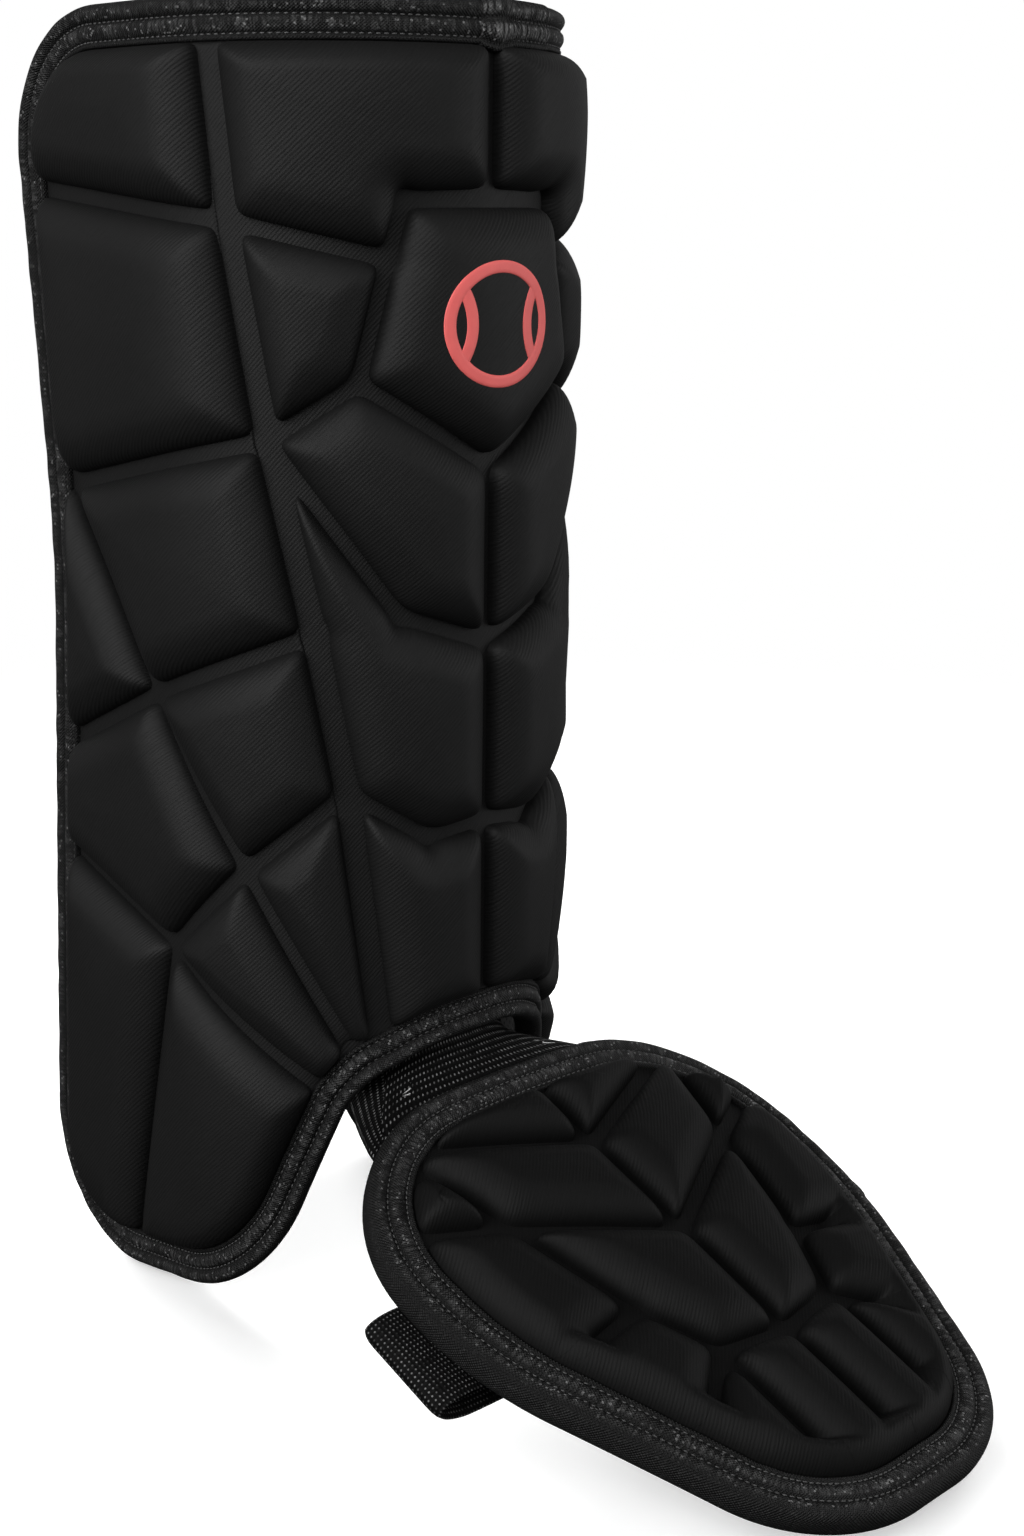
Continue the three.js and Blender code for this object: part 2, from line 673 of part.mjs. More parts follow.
function shieldBadge() {
  const ring = disc(0, BADGE_RADIUS).subtract(disc(0, BADGE_RADIUS - BADGE_LINE));
  const inside = disc(0, BADGE_RADIUS - BADGE_LINE / 2);
  const seams = [-BADGE_SEAM_OFFSET, BADGE_SEAM_OFFSET].map((across) => {
    const outer = disc(across, BADGE_SEAM_RADIUS);
    return outer.subtract(disc(across, BADGE_SEAM_RADIUS - BADGE_LINE)).intersect(inside);
  });
  const flat = fromSolid(seams.reduce((all, seam) => all.add(seam), ring));
  return bent(splitAlong(flat, 'x', LEG_SPLITS), onShin);
}

// Finishes
const foamCloth = new THREE.MeshStandardMaterial({ color: '#1c1c1d', roughness: 0.72, metalness: 0 });
const knitTape = new THREE.MeshStandardMaterial({ color: '#232324', roughness: 0.9, metalness: 0 });
const elasticWeb = new THREE.MeshStandardMaterial({ color: '#151516', roughness: 0.85, metalness: 0 });
const coralFilm = new THREE.MeshStandardMaterial({ color: '#e26262', roughness: 0.55, metalness: 0 });

const foot = new THREE.Group();
foot.position.copy(heelPlace);
foot.rotation.x = footTurn;
foot.add(
  toMesh('foot_panel', footPanel(), foamCloth),
  toMesh('foot_binding', footBinding(), knitTape),
  toMesh('stirrup_strap', stirrupStrap(), elasticWeb),
);

const legGuard = new THREE.Group();
legGuard.add(
  toMesh('shin_panel', shinPanel(), foamCloth),
  toMesh('shin_binding', shinBinding(), knitTape),
  toMesh('shield_badge', shieldBadge(), coralFilm),
  toMesh('ankle_elastic', ankleElastic(), elasticWeb),
  toMesh('calf_strap', calfStrap(), elasticWeb),
  foot,
);

export default legGuard;
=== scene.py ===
"""Batters leg guard: its looks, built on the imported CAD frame.

Tables and formulas are in millimetres, meshes in metres. A place on the shin panel is (across, up, out):
girth from the front line, height on the leg, distance out from the sheet's face. A place on the foot panel
is (across, along, out), with the toe at negative along.
"""
import math

import bpy
import numpy as np
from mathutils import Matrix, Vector


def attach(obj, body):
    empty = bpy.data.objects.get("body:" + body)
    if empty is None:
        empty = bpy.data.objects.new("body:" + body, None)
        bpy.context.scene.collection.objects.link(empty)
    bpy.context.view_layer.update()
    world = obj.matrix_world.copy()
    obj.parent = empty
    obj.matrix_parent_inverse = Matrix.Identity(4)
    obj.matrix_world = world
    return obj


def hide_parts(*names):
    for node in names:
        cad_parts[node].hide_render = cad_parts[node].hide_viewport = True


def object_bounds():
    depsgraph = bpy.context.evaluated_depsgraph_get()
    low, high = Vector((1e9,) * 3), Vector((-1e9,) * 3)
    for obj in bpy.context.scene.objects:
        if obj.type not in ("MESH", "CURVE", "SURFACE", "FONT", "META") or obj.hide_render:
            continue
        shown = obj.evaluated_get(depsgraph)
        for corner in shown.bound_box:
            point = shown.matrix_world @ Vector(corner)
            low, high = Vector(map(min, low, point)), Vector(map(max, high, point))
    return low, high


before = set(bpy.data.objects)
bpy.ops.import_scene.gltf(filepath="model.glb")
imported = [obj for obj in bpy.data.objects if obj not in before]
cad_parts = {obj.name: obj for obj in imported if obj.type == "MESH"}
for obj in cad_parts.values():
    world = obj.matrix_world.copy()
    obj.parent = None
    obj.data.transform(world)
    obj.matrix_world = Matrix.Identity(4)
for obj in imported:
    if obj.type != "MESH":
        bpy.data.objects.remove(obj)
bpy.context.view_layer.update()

MILLIMETRE = 0.001
TAU = 2 * math.pi

# Camera, as in the photograph
CAMERA_TARGET = (65.4, 0.0, -38.7)
CAMERA_AZIMUTH = -45.0
CAMERA_ELEVATION = 14.0
CAMERA_DISTANCE = 666.0
CAMERA_LENS = 52.6

# Shin panel
PANEL_HEIGHT = 340.0
HALF_GIRTH = 150.0
LEG_RADIUS = 57.5
ANKLE_TAPER = 0.11
QUARTER = math.pi / 2 * LEG_RADIUS

# Foot panel
FOOT_LENGTH = 152.0
FOOT_HALF_WIDTH = 73.0
FOOT_FORWARD = 12.0
FOOT_BELOW = 9.5
FOOT_SLOPE = 24.0
FOOT_CROWN_RADIUS = 310.0

# Moulded foam: a pad's wall is a rounded square, blended with a plain slant by PAD_SLANT
SHEET = 3.6
PAD_RISE = 8.0
PAD_SLOPE = 8.6
FOOT_PAD_SLOPE = 7.4
RIM_SLOPE = 5.5
PAD_CORNER = 1.0
PAD_STEEP = 2.5
PAD_SLANT = 0.35
PAD_CROWN = 1.0
PAD_CROWN_SPAN = 14.0
GROOVE = 3.7
SEAM_GROOVE = 6.4
TERRACE_RISE = 0.7
TERRACE_SLOPE = 0.5
RIM_GAP = 0.2

# Tape and webbing
SHIN_TAPE_WIDTH = 9.8
FOOT_TAPE_WIDTH = 10.4
TAPE_PITCH = 0.95
TAPE_RING = 64
FINE_PITCH = 0.5
WEBBING = 1.8

# Corners of half of each outline: share across, share up or along, corner radius as a share of the length
SHIN_CORNERS = [
    (0.985, 1.0, 0.103),
    (0.955, 0.6, 0.9),
    (1.135, -0.008, 0.106),
    (0.47, 0.022, 0.165),
    (0.262, 0.209, 0.08),
    (0.09, 0.241, 0.15),
]
FOOT_CORNERS = [(0.48, 1.0, 0.28), (0.967, 0.47, 0.65), (1.0, 0.0, 0.3)]

# Where the grooves of half the shin meet: share of the half girth, share of the height
SHIN_NODES = {
    "centreTop": (0, 1.04),
    "seamTop": (0.486, 1.04),
    "cornerTop": (1.12, 1.04),
    "edgeA": (1.12, 0.885),
    "seamA": (0.448, 0.852),
    "shieldTop": (0, 0.868),
    "shoulderIn": (0.159, 0.866),
    "shoulderOut": (0.186, 0.826),
    "shieldSide": (0.237, 0.74),
    "shieldTip": (0, 0.678),
    "seamB": (0.39, 0.7),
    "wedgeTop": (0.874, 0.656),
    "edgeB": (1.12, 0.775),
    "seamC": (0.319, 0.56),
    "crossA": (0.656, 0.504),
    "edgeC": (1.14, 0.411),
    "elbowHigh": (0.171, 0.572),
    "heartHigh": (0, 0.547),
    "elbowLow": (0.119, 0.402),
    "heartLow": (0, 0.409),
    "seamD": (0.267, 0.441),
    "crossB": (0.456, 0.378),
    "crossC": (0.646, 0.304),
    "edgeD": (1.2, 0.398),
    "seamEnd": (0.21, 0.24),
    "centreEnd": (0, 0.212),
    "archB": (0.269, 0.237),
    "archC": (0.297, 0.198),
    "lobeEnd": (0.868, -0.04),
    "lobeInnerOut": (0.2, -0.04),
    "lobeOuterOut": (1.25, -0.04),
}

# Pads of half the shin, each by the nodes round it
SHIN_PADS = {
    "outer top": "cornerTop seamTop seamA edgeA",
    "outer upper": "edgeA seamA seamB wedgeTop edgeB",
    "outer wedge": "edgeB wedgeTop crossA edgeC",
    "outer middle": "wedgeTop seamB seamC crossA",
    "outer low": "crossA seamC seamD crossB",
    "outer side": "edgeC crossA crossB crossC edgeD",
    "ankle inner": "crossB seamD seamEnd archB",
    "ankle middle": "crossB archB archC crossC",
    "lobe inner": "crossC archC lobeInnerOut lobeEnd",
    "lobe outer": "crossC lobeEnd lobeOuterOut edgeD",
    "inner top": "seamTop centreTop shieldTop shoulderIn shoulderOut seamA",
    "inner upper": "seamA shoulderOut shieldSide seamB",
    "knee upper": "seamB shieldSide shieldTip heartHigh elbowHigh",
    "knee lower": "seamB elbowHigh heartHigh heartLow elbowLow seamD seamC",
    "shin bottom": "seamD elbowLow heartLow centreEnd seamEnd",
}
SHIELD_HALF = "shoulderIn shoulderOut shieldSide"

# The outer side of the sheet stands a little higher than the seam groove beside it
TERRACE = (
    "cornerTop seamTop seamA seamB seamC seamD seamEnd archB archC"
    " lobeInnerOut lobeEnd lobeOuterOut edgeD edgeC edgeB edgeA"
)

# Where the grooves of half the foot meet: share of the half width, share of the length
FOOT_NODES = {
    "axisHeel": (0, -0.06),
    "axisA": (0, 0.21),
    "axisB": (0, 0.432),
    "axisC": (0, 0.668),
    "axisToe": (0, 1.06),
    "forkA": (0.547, 0.289),
    "forkB": (0.413, 0.518),
    "forkC": (0.28, 0.647),
    "rimHeel": (0.68, 0.07),
    "heelOut": (0.68, -0.1),
    "rearOut": (1.1, -0.1),
    "rimWing": (1.087, 0.16),
    "rimMid": (1.074, 0.561),
    "rimFront": (0.82, 0.852),
    "frontOut": (0.85, 1.1),
    "rimToe": (0.282, 1.07),
}
FOOT_PADS = {
    "heel": "axisHeel axisA rimHeel heelOut",
    "instep": "axisA axisB forkA rimHeel",
    "wedge": "forkA rimHeel rearOut rimWing",
    "wing": "forkA rimWing rimMid forkB",
    "middle": "forkA axisB axisC forkC forkB",
    "flank": "forkB rimMid rimFront forkC",
    "toe side": "forkC rimFront frontOut rimToe",
    "toe": "forkC axisC axisToe rimToe",
}


# Camera, light and floor
def make_camera():
    """The camera stands at target + distance * (sin a cos e, -cos a cos e, sin e) and looks at the target."""
    azimuth, elevation = math.radians(CAMERA_AZIMUTH), math.radians(CAMERA_ELEVATION)
    level = math.cos(elevation)
    back = Vector((math.sin(azimuth) * level, -math.cos(azimuth) * level, math.sin(elevation)))
    data = bpy.data.cameras.new("camera")
    data.lens = CAMERA_LENS
    data.clip_start = 0.01
    camera = bpy.data.objects.new("camera", data)
    bpy.context.scene.collection.objects.link(camera)
    camera.location = (Vector(CAMERA_TARGET) + back * CAMERA_DISTANCE) * MILLIMETRE
    camera.rotation_mode = "QUATERNION"
    camera.rotation_quaternion = (-back).to_track_quat("-Z", "Y")
    bpy.context.scene.camera = camera


def area_light(name, place, target, size, power):
    data = bpy.data.lights.new(name, "AREA")
    data.size = size
    data.energy = power
    light = bpy.data.objects.new(name, data)
    bpy.context.scene.collection.objects.link(light)
    light.location = place
    light.rotation_mode = "QUATERNION"
    light.rotation_quaternion = (Vector(target) - Vector(place)).to_track_quat("-Z", "Y")
    return light


# Material helper
class Flow:
    """One output socket of a material. Arithmetic on it adds Math nodes."""

    def __init__(self, finish, socket):
        self.finish = finish
        self.socket = socket

    def __add__(self, other):
        return self.finish.math("ADD", self, other)

    def __sub__(self, other):
        return self.finish.math("SUBTRACT", self, other)

    def __rsub__(self, other):
        return self.finish.math("SUBTRACT", other, self)

    def __mul__(self, other):
        return self.finish.math("MULTIPLY", self, other)

    def __truediv__(self, other):
        return self.finish.math("DIVIDE", self, other)

    __radd__ = __add__
    __rmul__ = __mul__


class Finish:
    """A material that is being put together, and the nodes in it."""

    def __init__(self, name):
        self.material = bpy.data.materials.new(name)
        self.material.use_nodes = True
        self.tree = self.material.node_tree
        self.tree.nodes.clear()

    def node(self, kind, settings=None, inputs=None, output=0):
        made = self.tree.nodes.new(kind)
        for name, value in (settings or {}).items():
            setattr(made, name, value)
        for name, value in (inputs or {}).items():
            if isinstance(value, Flow):
                self.tree.links.new(value.socket, made.inputs[name])
            else:
                made.inputs[name].default_value = value
        return Flow(self, made.outputs[output])

    def math(self, operation, *values):
        return self.node("ShaderNodeMath", {"operation": operation}, dict(enumerate(values)))

    def ramp(self, value, low, high):
        """0 below low, 1 above high, and a smooth step between them."""
        ends = {"Value": value, "From Min": low, "From Max": high}
        return self.node("ShaderNodeMapRange", {"interpolation_type": "SMOOTHSTEP"}, ends)

    def mix(self, share, first, second):
        """Colour that goes from first to second as share goes from 0 to 1."""
        return self.node("ShaderNodeMix", {"data_type": "RGBA"}, {0: share, 6: first, 7: second}, 2)

    def noise(self, vector, scale, detail=2.0):
        inputs = {"Vector": vector, "Scale": scale, "Detail": detail}
        return self.node("ShaderNodeTexNoise", {"noise_dimensions": "3D"}, inputs)

    def cloth_place(self):
        """Place along and across the cloth in millimetres, from the piece's own map."""
        place = self.node("ShaderNodeUVMap", {"uv_map": "cloth"})
        scaled = {0: place, "Scale": 1 / MILLIMETRE}
        return self.node("ShaderNodeVectorMath", {"operation": "SCALE"}, scaled)

    def split(self, vector):
        first = self.node("ShaderNodeSeparateXYZ", inputs={0: vector})
        return first, Flow(self, first.socket.node.outputs[1])

    def join(self, x, y, z=0.0):
        return self.node("ShaderNodeCombineXYZ", inputs={0: x, 1: y, 2: z})

    def bump(self, height, strength, distance):
        inputs = {"Height": height, "Strength": strength, "Distance": distance * MILLIMETRE}
        return self.node("ShaderNodeBump", inputs=inputs)

    def surface(self, inputs):
        shader = self.node("ShaderNodeBsdfPrincipled", inputs=inputs)
        outlet = self.tree.nodes.new("ShaderNodeOutputMaterial")
        self.tree.links.new(shader.socket, outlet.inputs["Surface"])
        return self.material


def grey(level):
    return (level, level, level, 1.0)


# Finishes
def foam_cloth(name, dark, light, shine):
    """Matte laminated cloth: a fine slanted twill and creases over a soft mottle, with painted shade where the
    creases dip.
    """
    finish = Finish(name)
    along, across = finish.split(finish.cloth_place())
    slant = (along + across) * 0.7071
    slope = (across - along) * 0.7071
    crease = finish.noise(finish.join(slant * 0.22, slope * 1.15), 1.0, 3.0)
    grain = finish.noise(finish.join(along, across), 2.4, 2.0)
    mottle = finish.noise(finish.join(along, across), 0.035, 2.0)
    twill = finish.math("SINE", slope * (TAU / 0.85) + crease * 3.0) * 0.5 + 0.5
    height = crease * 0.8 + grain * 0.3 + twill * 0.35
    # Mottle is the cloth's own uneven tone and twill its weave; crease adds painted shade, darker where the
    # creases' bump dips.
    shade = mottle * 0.5 + twill * 0.2 + crease * 0.3
    colour = finish.mix(shade, grey(dark), grey(light))
    return finish.surface({
        "Base Color": colour,
        "Roughness": crease * 0.1 + 0.53,
        "Specular IOR Level": shine,
        "Normal": finish.bump(height, 0.6, 0.22),
    })


def knit_tape(name, light):
    """Knit binding: fine ribs and loops across the tape, the ribs' light colour shown as painted highlight on its
    raised middle band and along its roll's crest, painted shade near black in the valleys, flange and underside,
    and random painted glints.
    """
    finish = Finish(name)
    along, across = finish.split(finish.cloth_place())
    ribs = finish.noise(finish.join(along * 1.45, across * 0.22), 1.0, 2.0)
    patches = finish.noise(finish.join(along * 0.16, across * 0.5), 1.0, 3.0)
    loops = finish.math("SINE", along * (TAU / 0.9)) * finish.math("SINE", across * (TAU / 0.8))
    # Painted highlight on the raised middle band and on the crest of the outer roll; the stitched valleys, the
    # inner flange and the underside keep only 0.08 of the light colour, painted shade.
    band_highlight = finish.ramp(across, 4.2, 5.0) * (1 - finish.ramp(across, 7.4, 8.6))
    crest_highlight = finish.ramp(across, 9.9, 11.2) * (1 - finish.ramp(across, 12.0, 13.6))
    shown = band_highlight * 0.85 + crest_highlight * 0.75 + 0.08
    lit = finish.ramp(ribs, 0.40, 0.62) * finish.ramp(patches, 0.25, 0.65) * shown
    cell = finish.join(finish.math("FLOOR", along / 0.55), finish.math("FLOOR", across / 0.5))
    pick = finish.node("ShaderNodeTexWhiteNoise", {"noise_dimensions": "3D"}, {"Vector": cell})
    # Painted glints: random specks of pale colour, only where the painted highlight falls.
    glint = finish.ramp(pick, 0.93, 1.0) * shown * 0.5
    soft = finish.mix(lit, grey(0.0042), grey(light))
    colour = finish.mix(glint, soft, grey(0.34))
    height = ribs * 0.8 + loops * 0.25 + patches * 0.4
    return finish.surface({
        "Base Color": colour,
        "Roughness": 0.55,
        "Specular IOR Level": 0.22,
        "Normal": finish.bump(height, 0.9, 0.6),
    })


def elastic_web(name, rib_pitch, dot_pitch, light):
    """Elastic webbing: black ribs along the band, with painted glints in rows of dots where the ribs and the cross
    waves peak, broken up in random patches.
    """
    finish = Finish(name)
    along, across = finish.split(finish.cloth_place())
    rib = finish.math("SINE", across * (TAU / rib_pitch)) * 0.5 + 0.5
    dot = finish.math("SINE", along * (TAU / dot_pitch)) * 0.5 + 0.5
    # Painted glints: light dots on the bump's peaks, where rib and dot are both high; the noise below breaks them
    # into random patches.
    peak_glint = finish.ramp(rib * dot, 0.58, 0.85)
    wear_and_glint_patches = finish.noise(finish.join(along, across), 0.4, 2.0)
    colour = finish.mix(peak_glint * finish.ramp(wear_and_glint_patches, 0.25, 0.65), grey(0.0030), grey(light))
    return finish.surface({
        "Base Color": colour,
        "Roughness": 0.6,
        "Specular IOR Level": 0.07,
        "Normal": finish.bump(rib * 0.6 + dot * 0.4, 0.8, 0.35),
    })


def coral_film():
    """Printed film: an even coral, slightly worn."""
    finish = Finish("coral_film")
    along, across = finish.split(finish.cloth_place())
    wear_and_glint_patches = finish.noise(finish.join(along, across), 0.25, 3.0)
    colour = finish.mix(wear_and_glint_patches, (0.76, 0.125, 0.12, 1.0), (0.88, 0.16, 0.15, 1.0))
    return finish.surface({"Base Color": colour, "Roughness": 0.55, "Specular IOR Level": 0.3})


def sewing_thread():
    """Thick black thread with a dull shine."""
    finish = Finish("sewing_thread")
    along, across = finish.split(finish.cloth_place())
    twist = finish.math("SINE", (along + across) * (TAU / 0.5))
    return finish.surface({
        "Base Color": finish.mix(twist * 0.5 + 0.5, grey(0.025), grey(0.09)),
        "Roughness": 0.45,
    })


def light_thread():
    """Pale sewing thread."""
    finish = Finish("light_thread")
    along, across = finish.split(finish.cloth_place())
    twist = finish.math("SINE", (along + across) * (TAU / 0.6))
    return finish.surface({
        "Base Color": finish.mix(twist * 0.5 + 0.5, grey(0.30), grey(0.60)),
        "Roughness": 0.5,
    })


def lining_mesh():
    """Spacer mesh: small holes in offset rows on a soft knit, the holes coloured near black as painted shade inside
    them.
    """
    finish = Finish("lining_mesh")
    along, across = finish.split(finish.cloth_place())
    first = finish.math("SINE", (along + across) * (TAU / 3.4)) * 0.5 + 0.5
    second = finish.math("SINE", (along - across) * (TAU / 3.4)) * 0.5 + 0.5
    hole_and_shade = finish.ramp(first * second, 0.55, 0.75)
    knit = finish.noise(finish.join(along, across), 2.0, 2.0)
    return finish.surface({
        # Painted shade: the holes are coloured near black for the shade inside them.
        "Base Color": finish.mix(hole_and_shade, grey(0.024), grey(0.003)),
        "Roughness": 0.8,
        "Specular IOR Level": 0.15,
        "Sheen Weight": 0.05,
        "Normal": finish.bump(knit * 0.3 - hole_and_shade, 0.8, 0.5),
    })


def pale_floor():
    """Pale floor that fades out with distance, so that it has no edge against the backdrop."""
    finish = Finish("pale_floor")
    place = finish.node("ShaderNodeTexCoord", output=3)
    reach = finish.node("ShaderNodeVectorMath", {"operation": "LENGTH"}, {0: place}, 1)
    return finish.surface({
        "Base Color": grey(0.9),
        "Roughness": 0.8,
        "Emission Color": grey(1.0),
        "Emission Strength": 0.25,
        "Alpha": 1 - finish.ramp(reach, 0.2, 0.9),
    })


# Meshes
def build_piece(name, points, faces, marks, material, slot):
    """Mesh from points in millimetres, faces as arrays of point numbers, and marks, one per face corner, that
    place the cloth's pattern in millimetres. Faces turn outwards: the enclosed volume, the sum of a . (b x c) over
    their triangles, must be positive."""
    points = np.asarray(points, float)
    tips = [points[block[:, :3]] for block in faces]
    volume = sum(np.einsum("ij,ij->i", t[:, 0], np.cross(t[:, 1], t[:, 2])).sum() for t in tips)
    rest = [points[block[:, [0, 2, 3]]] for block in faces if block.shape[1] == 4]
    volume += sum(np.einsum("ij,ij->i", t[:, 0], np.cross(t[:, 1], t[:, 2])).sum() for t in rest)
    if volume < 0:
        faces = [block[:, ::-1] for block in faces]
        marks = [block[:, ::-1] for block in marks]
    corners = np.concatenate([block.ravel() for block in faces])
    sizes = np.concatenate([np.full(len(block), block.shape[1]) for block in faces])
    starts = np.concatenate([[0], np.cumsum(sizes)[:-1]])
    mesh = bpy.data.meshes.new(name)
    mesh.vertices.add(len(points))
    mesh.vertices.foreach_set("co", (points * MILLIMETRE).astype(np.float32).ravel())
    mesh.loops.add(len(corners))
    mesh.loops.foreach_set("vertex_index", corners.astype(np.int32))
    mesh.polygons.add(len(sizes))
    mesh.polygons.foreach_set("loop_start", starts.astype(np.int32))
    mesh.update(calc_edges=True)
    cloth = mesh.uv_layers.new(name="cloth")
    flat = np.concatenate([block.reshape(-1, 2) for block in marks]) * MILLIMETRE
    cloth.data.foreach_set("uv", flat.astype(np.float32).ravel())
    mesh.shade_smooth()
    mesh.materials.append(material)
    piece = bpy.data.objects.new(name, mesh)
    bpy.context.scene.collection.objects.link(piece)
    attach(piece, "root")
    return piece


def grid_faces(rows, columns, wrap_rows=False, wrap_columns=False):
    """Quads of a grid of points, and the same quads numbered on a grid with one more row and column, on which a
    pattern runs on across the seam."""
    i, j = np.meshgrid(
        np.arange(rows if wrap_rows else rows - 1),
        np.arange(columns if wrap_columns else columns - 1),
        indexing="ij",
    )
    corners = [(i, j), (i, j + 1), (i + 1, j + 1), (i + 1, j)]
    quads = [(a % rows) * columns + b % columns for a, b in corners]
    pattern = [a * (columns + 1) + b for a, b in corners]
    return np.stack(quads, -1).reshape(-1, 4), np.stack(pattern, -1).reshape(-1, 4)


def join_parts(parts):
    """One mesh from several: each part is (points, faces, marks)."""
    offset, points, faces, marks = 0, [], [], []
    for part_points, part_faces, part_marks in parts:
        points.append(part_points)
        faces += [block + offset for block in part_faces]
        marks += part_marks
        offset += len(part_points)
    return np.concatenate(points), faces, marks


# Leg and foot: from flat places to places in space
def on_shin(across, up, out):
    """Front: a half round of the leg's radius, point = k * R * (sin t, -cos t) with t = across / R. Sides: straight
    back from there. k narrows towards the ankle, and out runs along the outward normal (sin t, -cos t)."""
    reach = np.abs(across)
    turn = np.minimum(reach, QUARTER) / LEG_RADIUS
    normal_x = np.where(across < 0, -1, 1) * np.sin(turn)
    normal_y = -np.cos(turn)
    taper = 1 - ANKLE_TAPER * (0.5 - up / PANEL_HEIGHT)
    x = normal_x * (LEG_RADIUS * taper + out)
    y = normal_y * (LEG_RADIUS * taper + out) + np.maximum(reach - QUARTER, 0) * taper
    return np.stack([x, y, up + 0 * x], -1)


ARCH_TOP = (SHIN_CORNERS[-1][1] - 0.5) * PANEL_HEIGHT
ARCH_TAPER = 1 - ANKLE_TAPER * (0.5 - ARCH_TOP / PANEL_HEIGHT)
HEEL_PLACE = np.array([0, -LEG_RADIUS * ARCH_TAPER - FOOT_FORWARD, ARCH_TOP - FOOT_BELOW])


def foot_to_leg(x, y, z):
    """The foot's own frame turned about X by the slope, then moved to the heel's place."""
    turn = math.radians(FOOT_SLOPE)
    tilted = [x, y * math.cos(turn) - z * math.sin(turn), y * math.sin(turn) + z * math.cos(turn)]
    return np.stack(np.broadcast_arrays(*tilted), -1) + HEEL_PLACE


def foot_crown(across):
    """Fall of the crown: R - sqrt(R^2 - x^2)."""
    return FOOT_CROWN_RADIUS - np.sqrt(FOOT_CROWN_RADIUS**2 - across**2)


def on_foot(across, along, out):
    return foot_to_leg(across, along, out - foot_crown(across))


# Outlines
def unit(vectors):
    return vectors / np.linalg.norm(vectors, axis=-1, keepdims=True)


def cross(a, b):
    return a[..., 0] * b[..., 1] - a[..., 1] * b[..., 0]


def turned(vectors, angle):
    """Plane vectors turned anticlockwise."""
    c, s = np.cos(angle), np.sin(angle)
    x, y = vectors[..., 0], vectors[..., 1]
    return np.stack([x * c - y * s, x * s + y * c], -1)


def mirror_loop(half):
    """A half and its mirror image as one loop, anticlockwise."""
    half = np.asarray(half, float)
    other = half[::-1].copy()
    other[:, 0] *= -1
    loop = np.concatenate([half, other])
    after = np.roll(loop, -1, axis=0)
    return loop if cross(loop, after).sum() > 0 else loop[::-1]


def rounded_outline(corners, spacing):
    """Arc at each corner: centre + side * radius * spoke, where the spoke turns from one run's outward normal
    to the next one's. Runs between arcs are straight. Gives evenly spaced points, their inward normals, their
    places along the outline and its length."""
    place, radius = corners[:, :2], corners[:, 2:]
    before = unit(place - np.roll(place, 1, axis=0))
    after = np.roll(before, -1, axis=0)
    sine, cosine = cross(before, after), (before * after).sum(-1)
    turn = np.arctan2(sine, cosine)
    reach = np.sign(turn)[:, None] * radius
    inward = turned(before, math.pi / 2)
    centre = place + reach * inward + before * reach * ((cosine - 1) / sine)[:, None]
    share = np.linspace(0, 1, 33)
    spokes = turned(-inward[:, None, :], turn[:, None] * share)
    arcs = (centre[:, None, :] + reach[:, None, :] * spokes).reshape(-1, 2)
    normals = -spokes.reshape(-1, 2)
    arcs, normals = (np.concatenate([a, a[:1]]) for a in (arcs, normals))
    run = np.concatenate([[0], np.cumsum(np.linalg.norm(np.diff(arcs, axis=0), axis=1))])
    even = np.linspace(0, run[-1], int(run[-1] / spacing), endpoint=False)
    points = np.stack([np.interp(even, run, arcs[:, k]) for k in (0, 1)], -1)
    inwards = np.stack([np.interp(even, run, normals[:, k]) for k in (0, 1)], -1)
    return points, unit(inwards), even, run[-1]


shin_corners = mirror_loop([
    (s * HALF_GIRTH, (u - 0.5) * PANEL_HEIGHT, r * PANEL_HEIGHT) for s, u, r in SHIN_CORNERS
])
foot_corners = mirror_loop([
    (s * FOOT_HALF_WIDTH, -a * FOOT_LENGTH, r * FOOT_LENGTH) for s, a, r in FOOT_CORNERS
])


class DepthField:
    """How deep a flat place lies inside an outline. Held on a grid and read between its points."""

    PITCH = 1.5
    MARGIN = 12.0
    EDGE = 4.0

    def __init__(self, corners):
        outline = rounded_outline(corners, self.EDGE)[0]
        self.low = outline.min(0) - self.MARGIN
        self.high = outline.max(0) + self.MARGIN
        x, y = (np.arange(a, b, self.PITCH) for a, b in zip(self.low, self.high))
        grid = np.stack(np.meshgrid(x, y, indexing="ij"), -1)
        step = np.roll(outline, -1, axis=0) - outline
        best = np.full(grid.shape[:2], np.inf)
        depth = np.zeros(grid.shape[:2])
        for start, run in zip(outline, step):
            away = grid - start
            share = np.clip((away @ run) / (run @ run), 0, 1)
            gap = np.linalg.norm(away - share[..., None] * run, axis=-1)
            nearer = gap < best
            depth = np.where(nearer, np.where(cross(run, away) > 0, gap, -gap), depth)
            best = np.where(nearer, gap, best)
        self.depth = depth

    def at(self, x, y):
        i, j = (x - self.low[0]) / self.PITCH, (y - self.low[1]) / self.PITCH
        i = np.clip(i, 0, self.depth.shape[0] - 1.001)
        j = np.clip(j, 0, self.depth.shape[1] - 1.001)
        a, b = i.astype(int), j.astype(int)
        u, v = i - a, j - b
        d = self.depth
        near = d[a, b] * (1 - v) + d[a, b + 1] * v
        far = d[a + 1, b] * (1 - v) + d[a + 1, b + 1] * v
        return near * (1 - u) + far * u


shin_field = DepthField(shin_corners)
foot_field = DepthField(foot_corners)


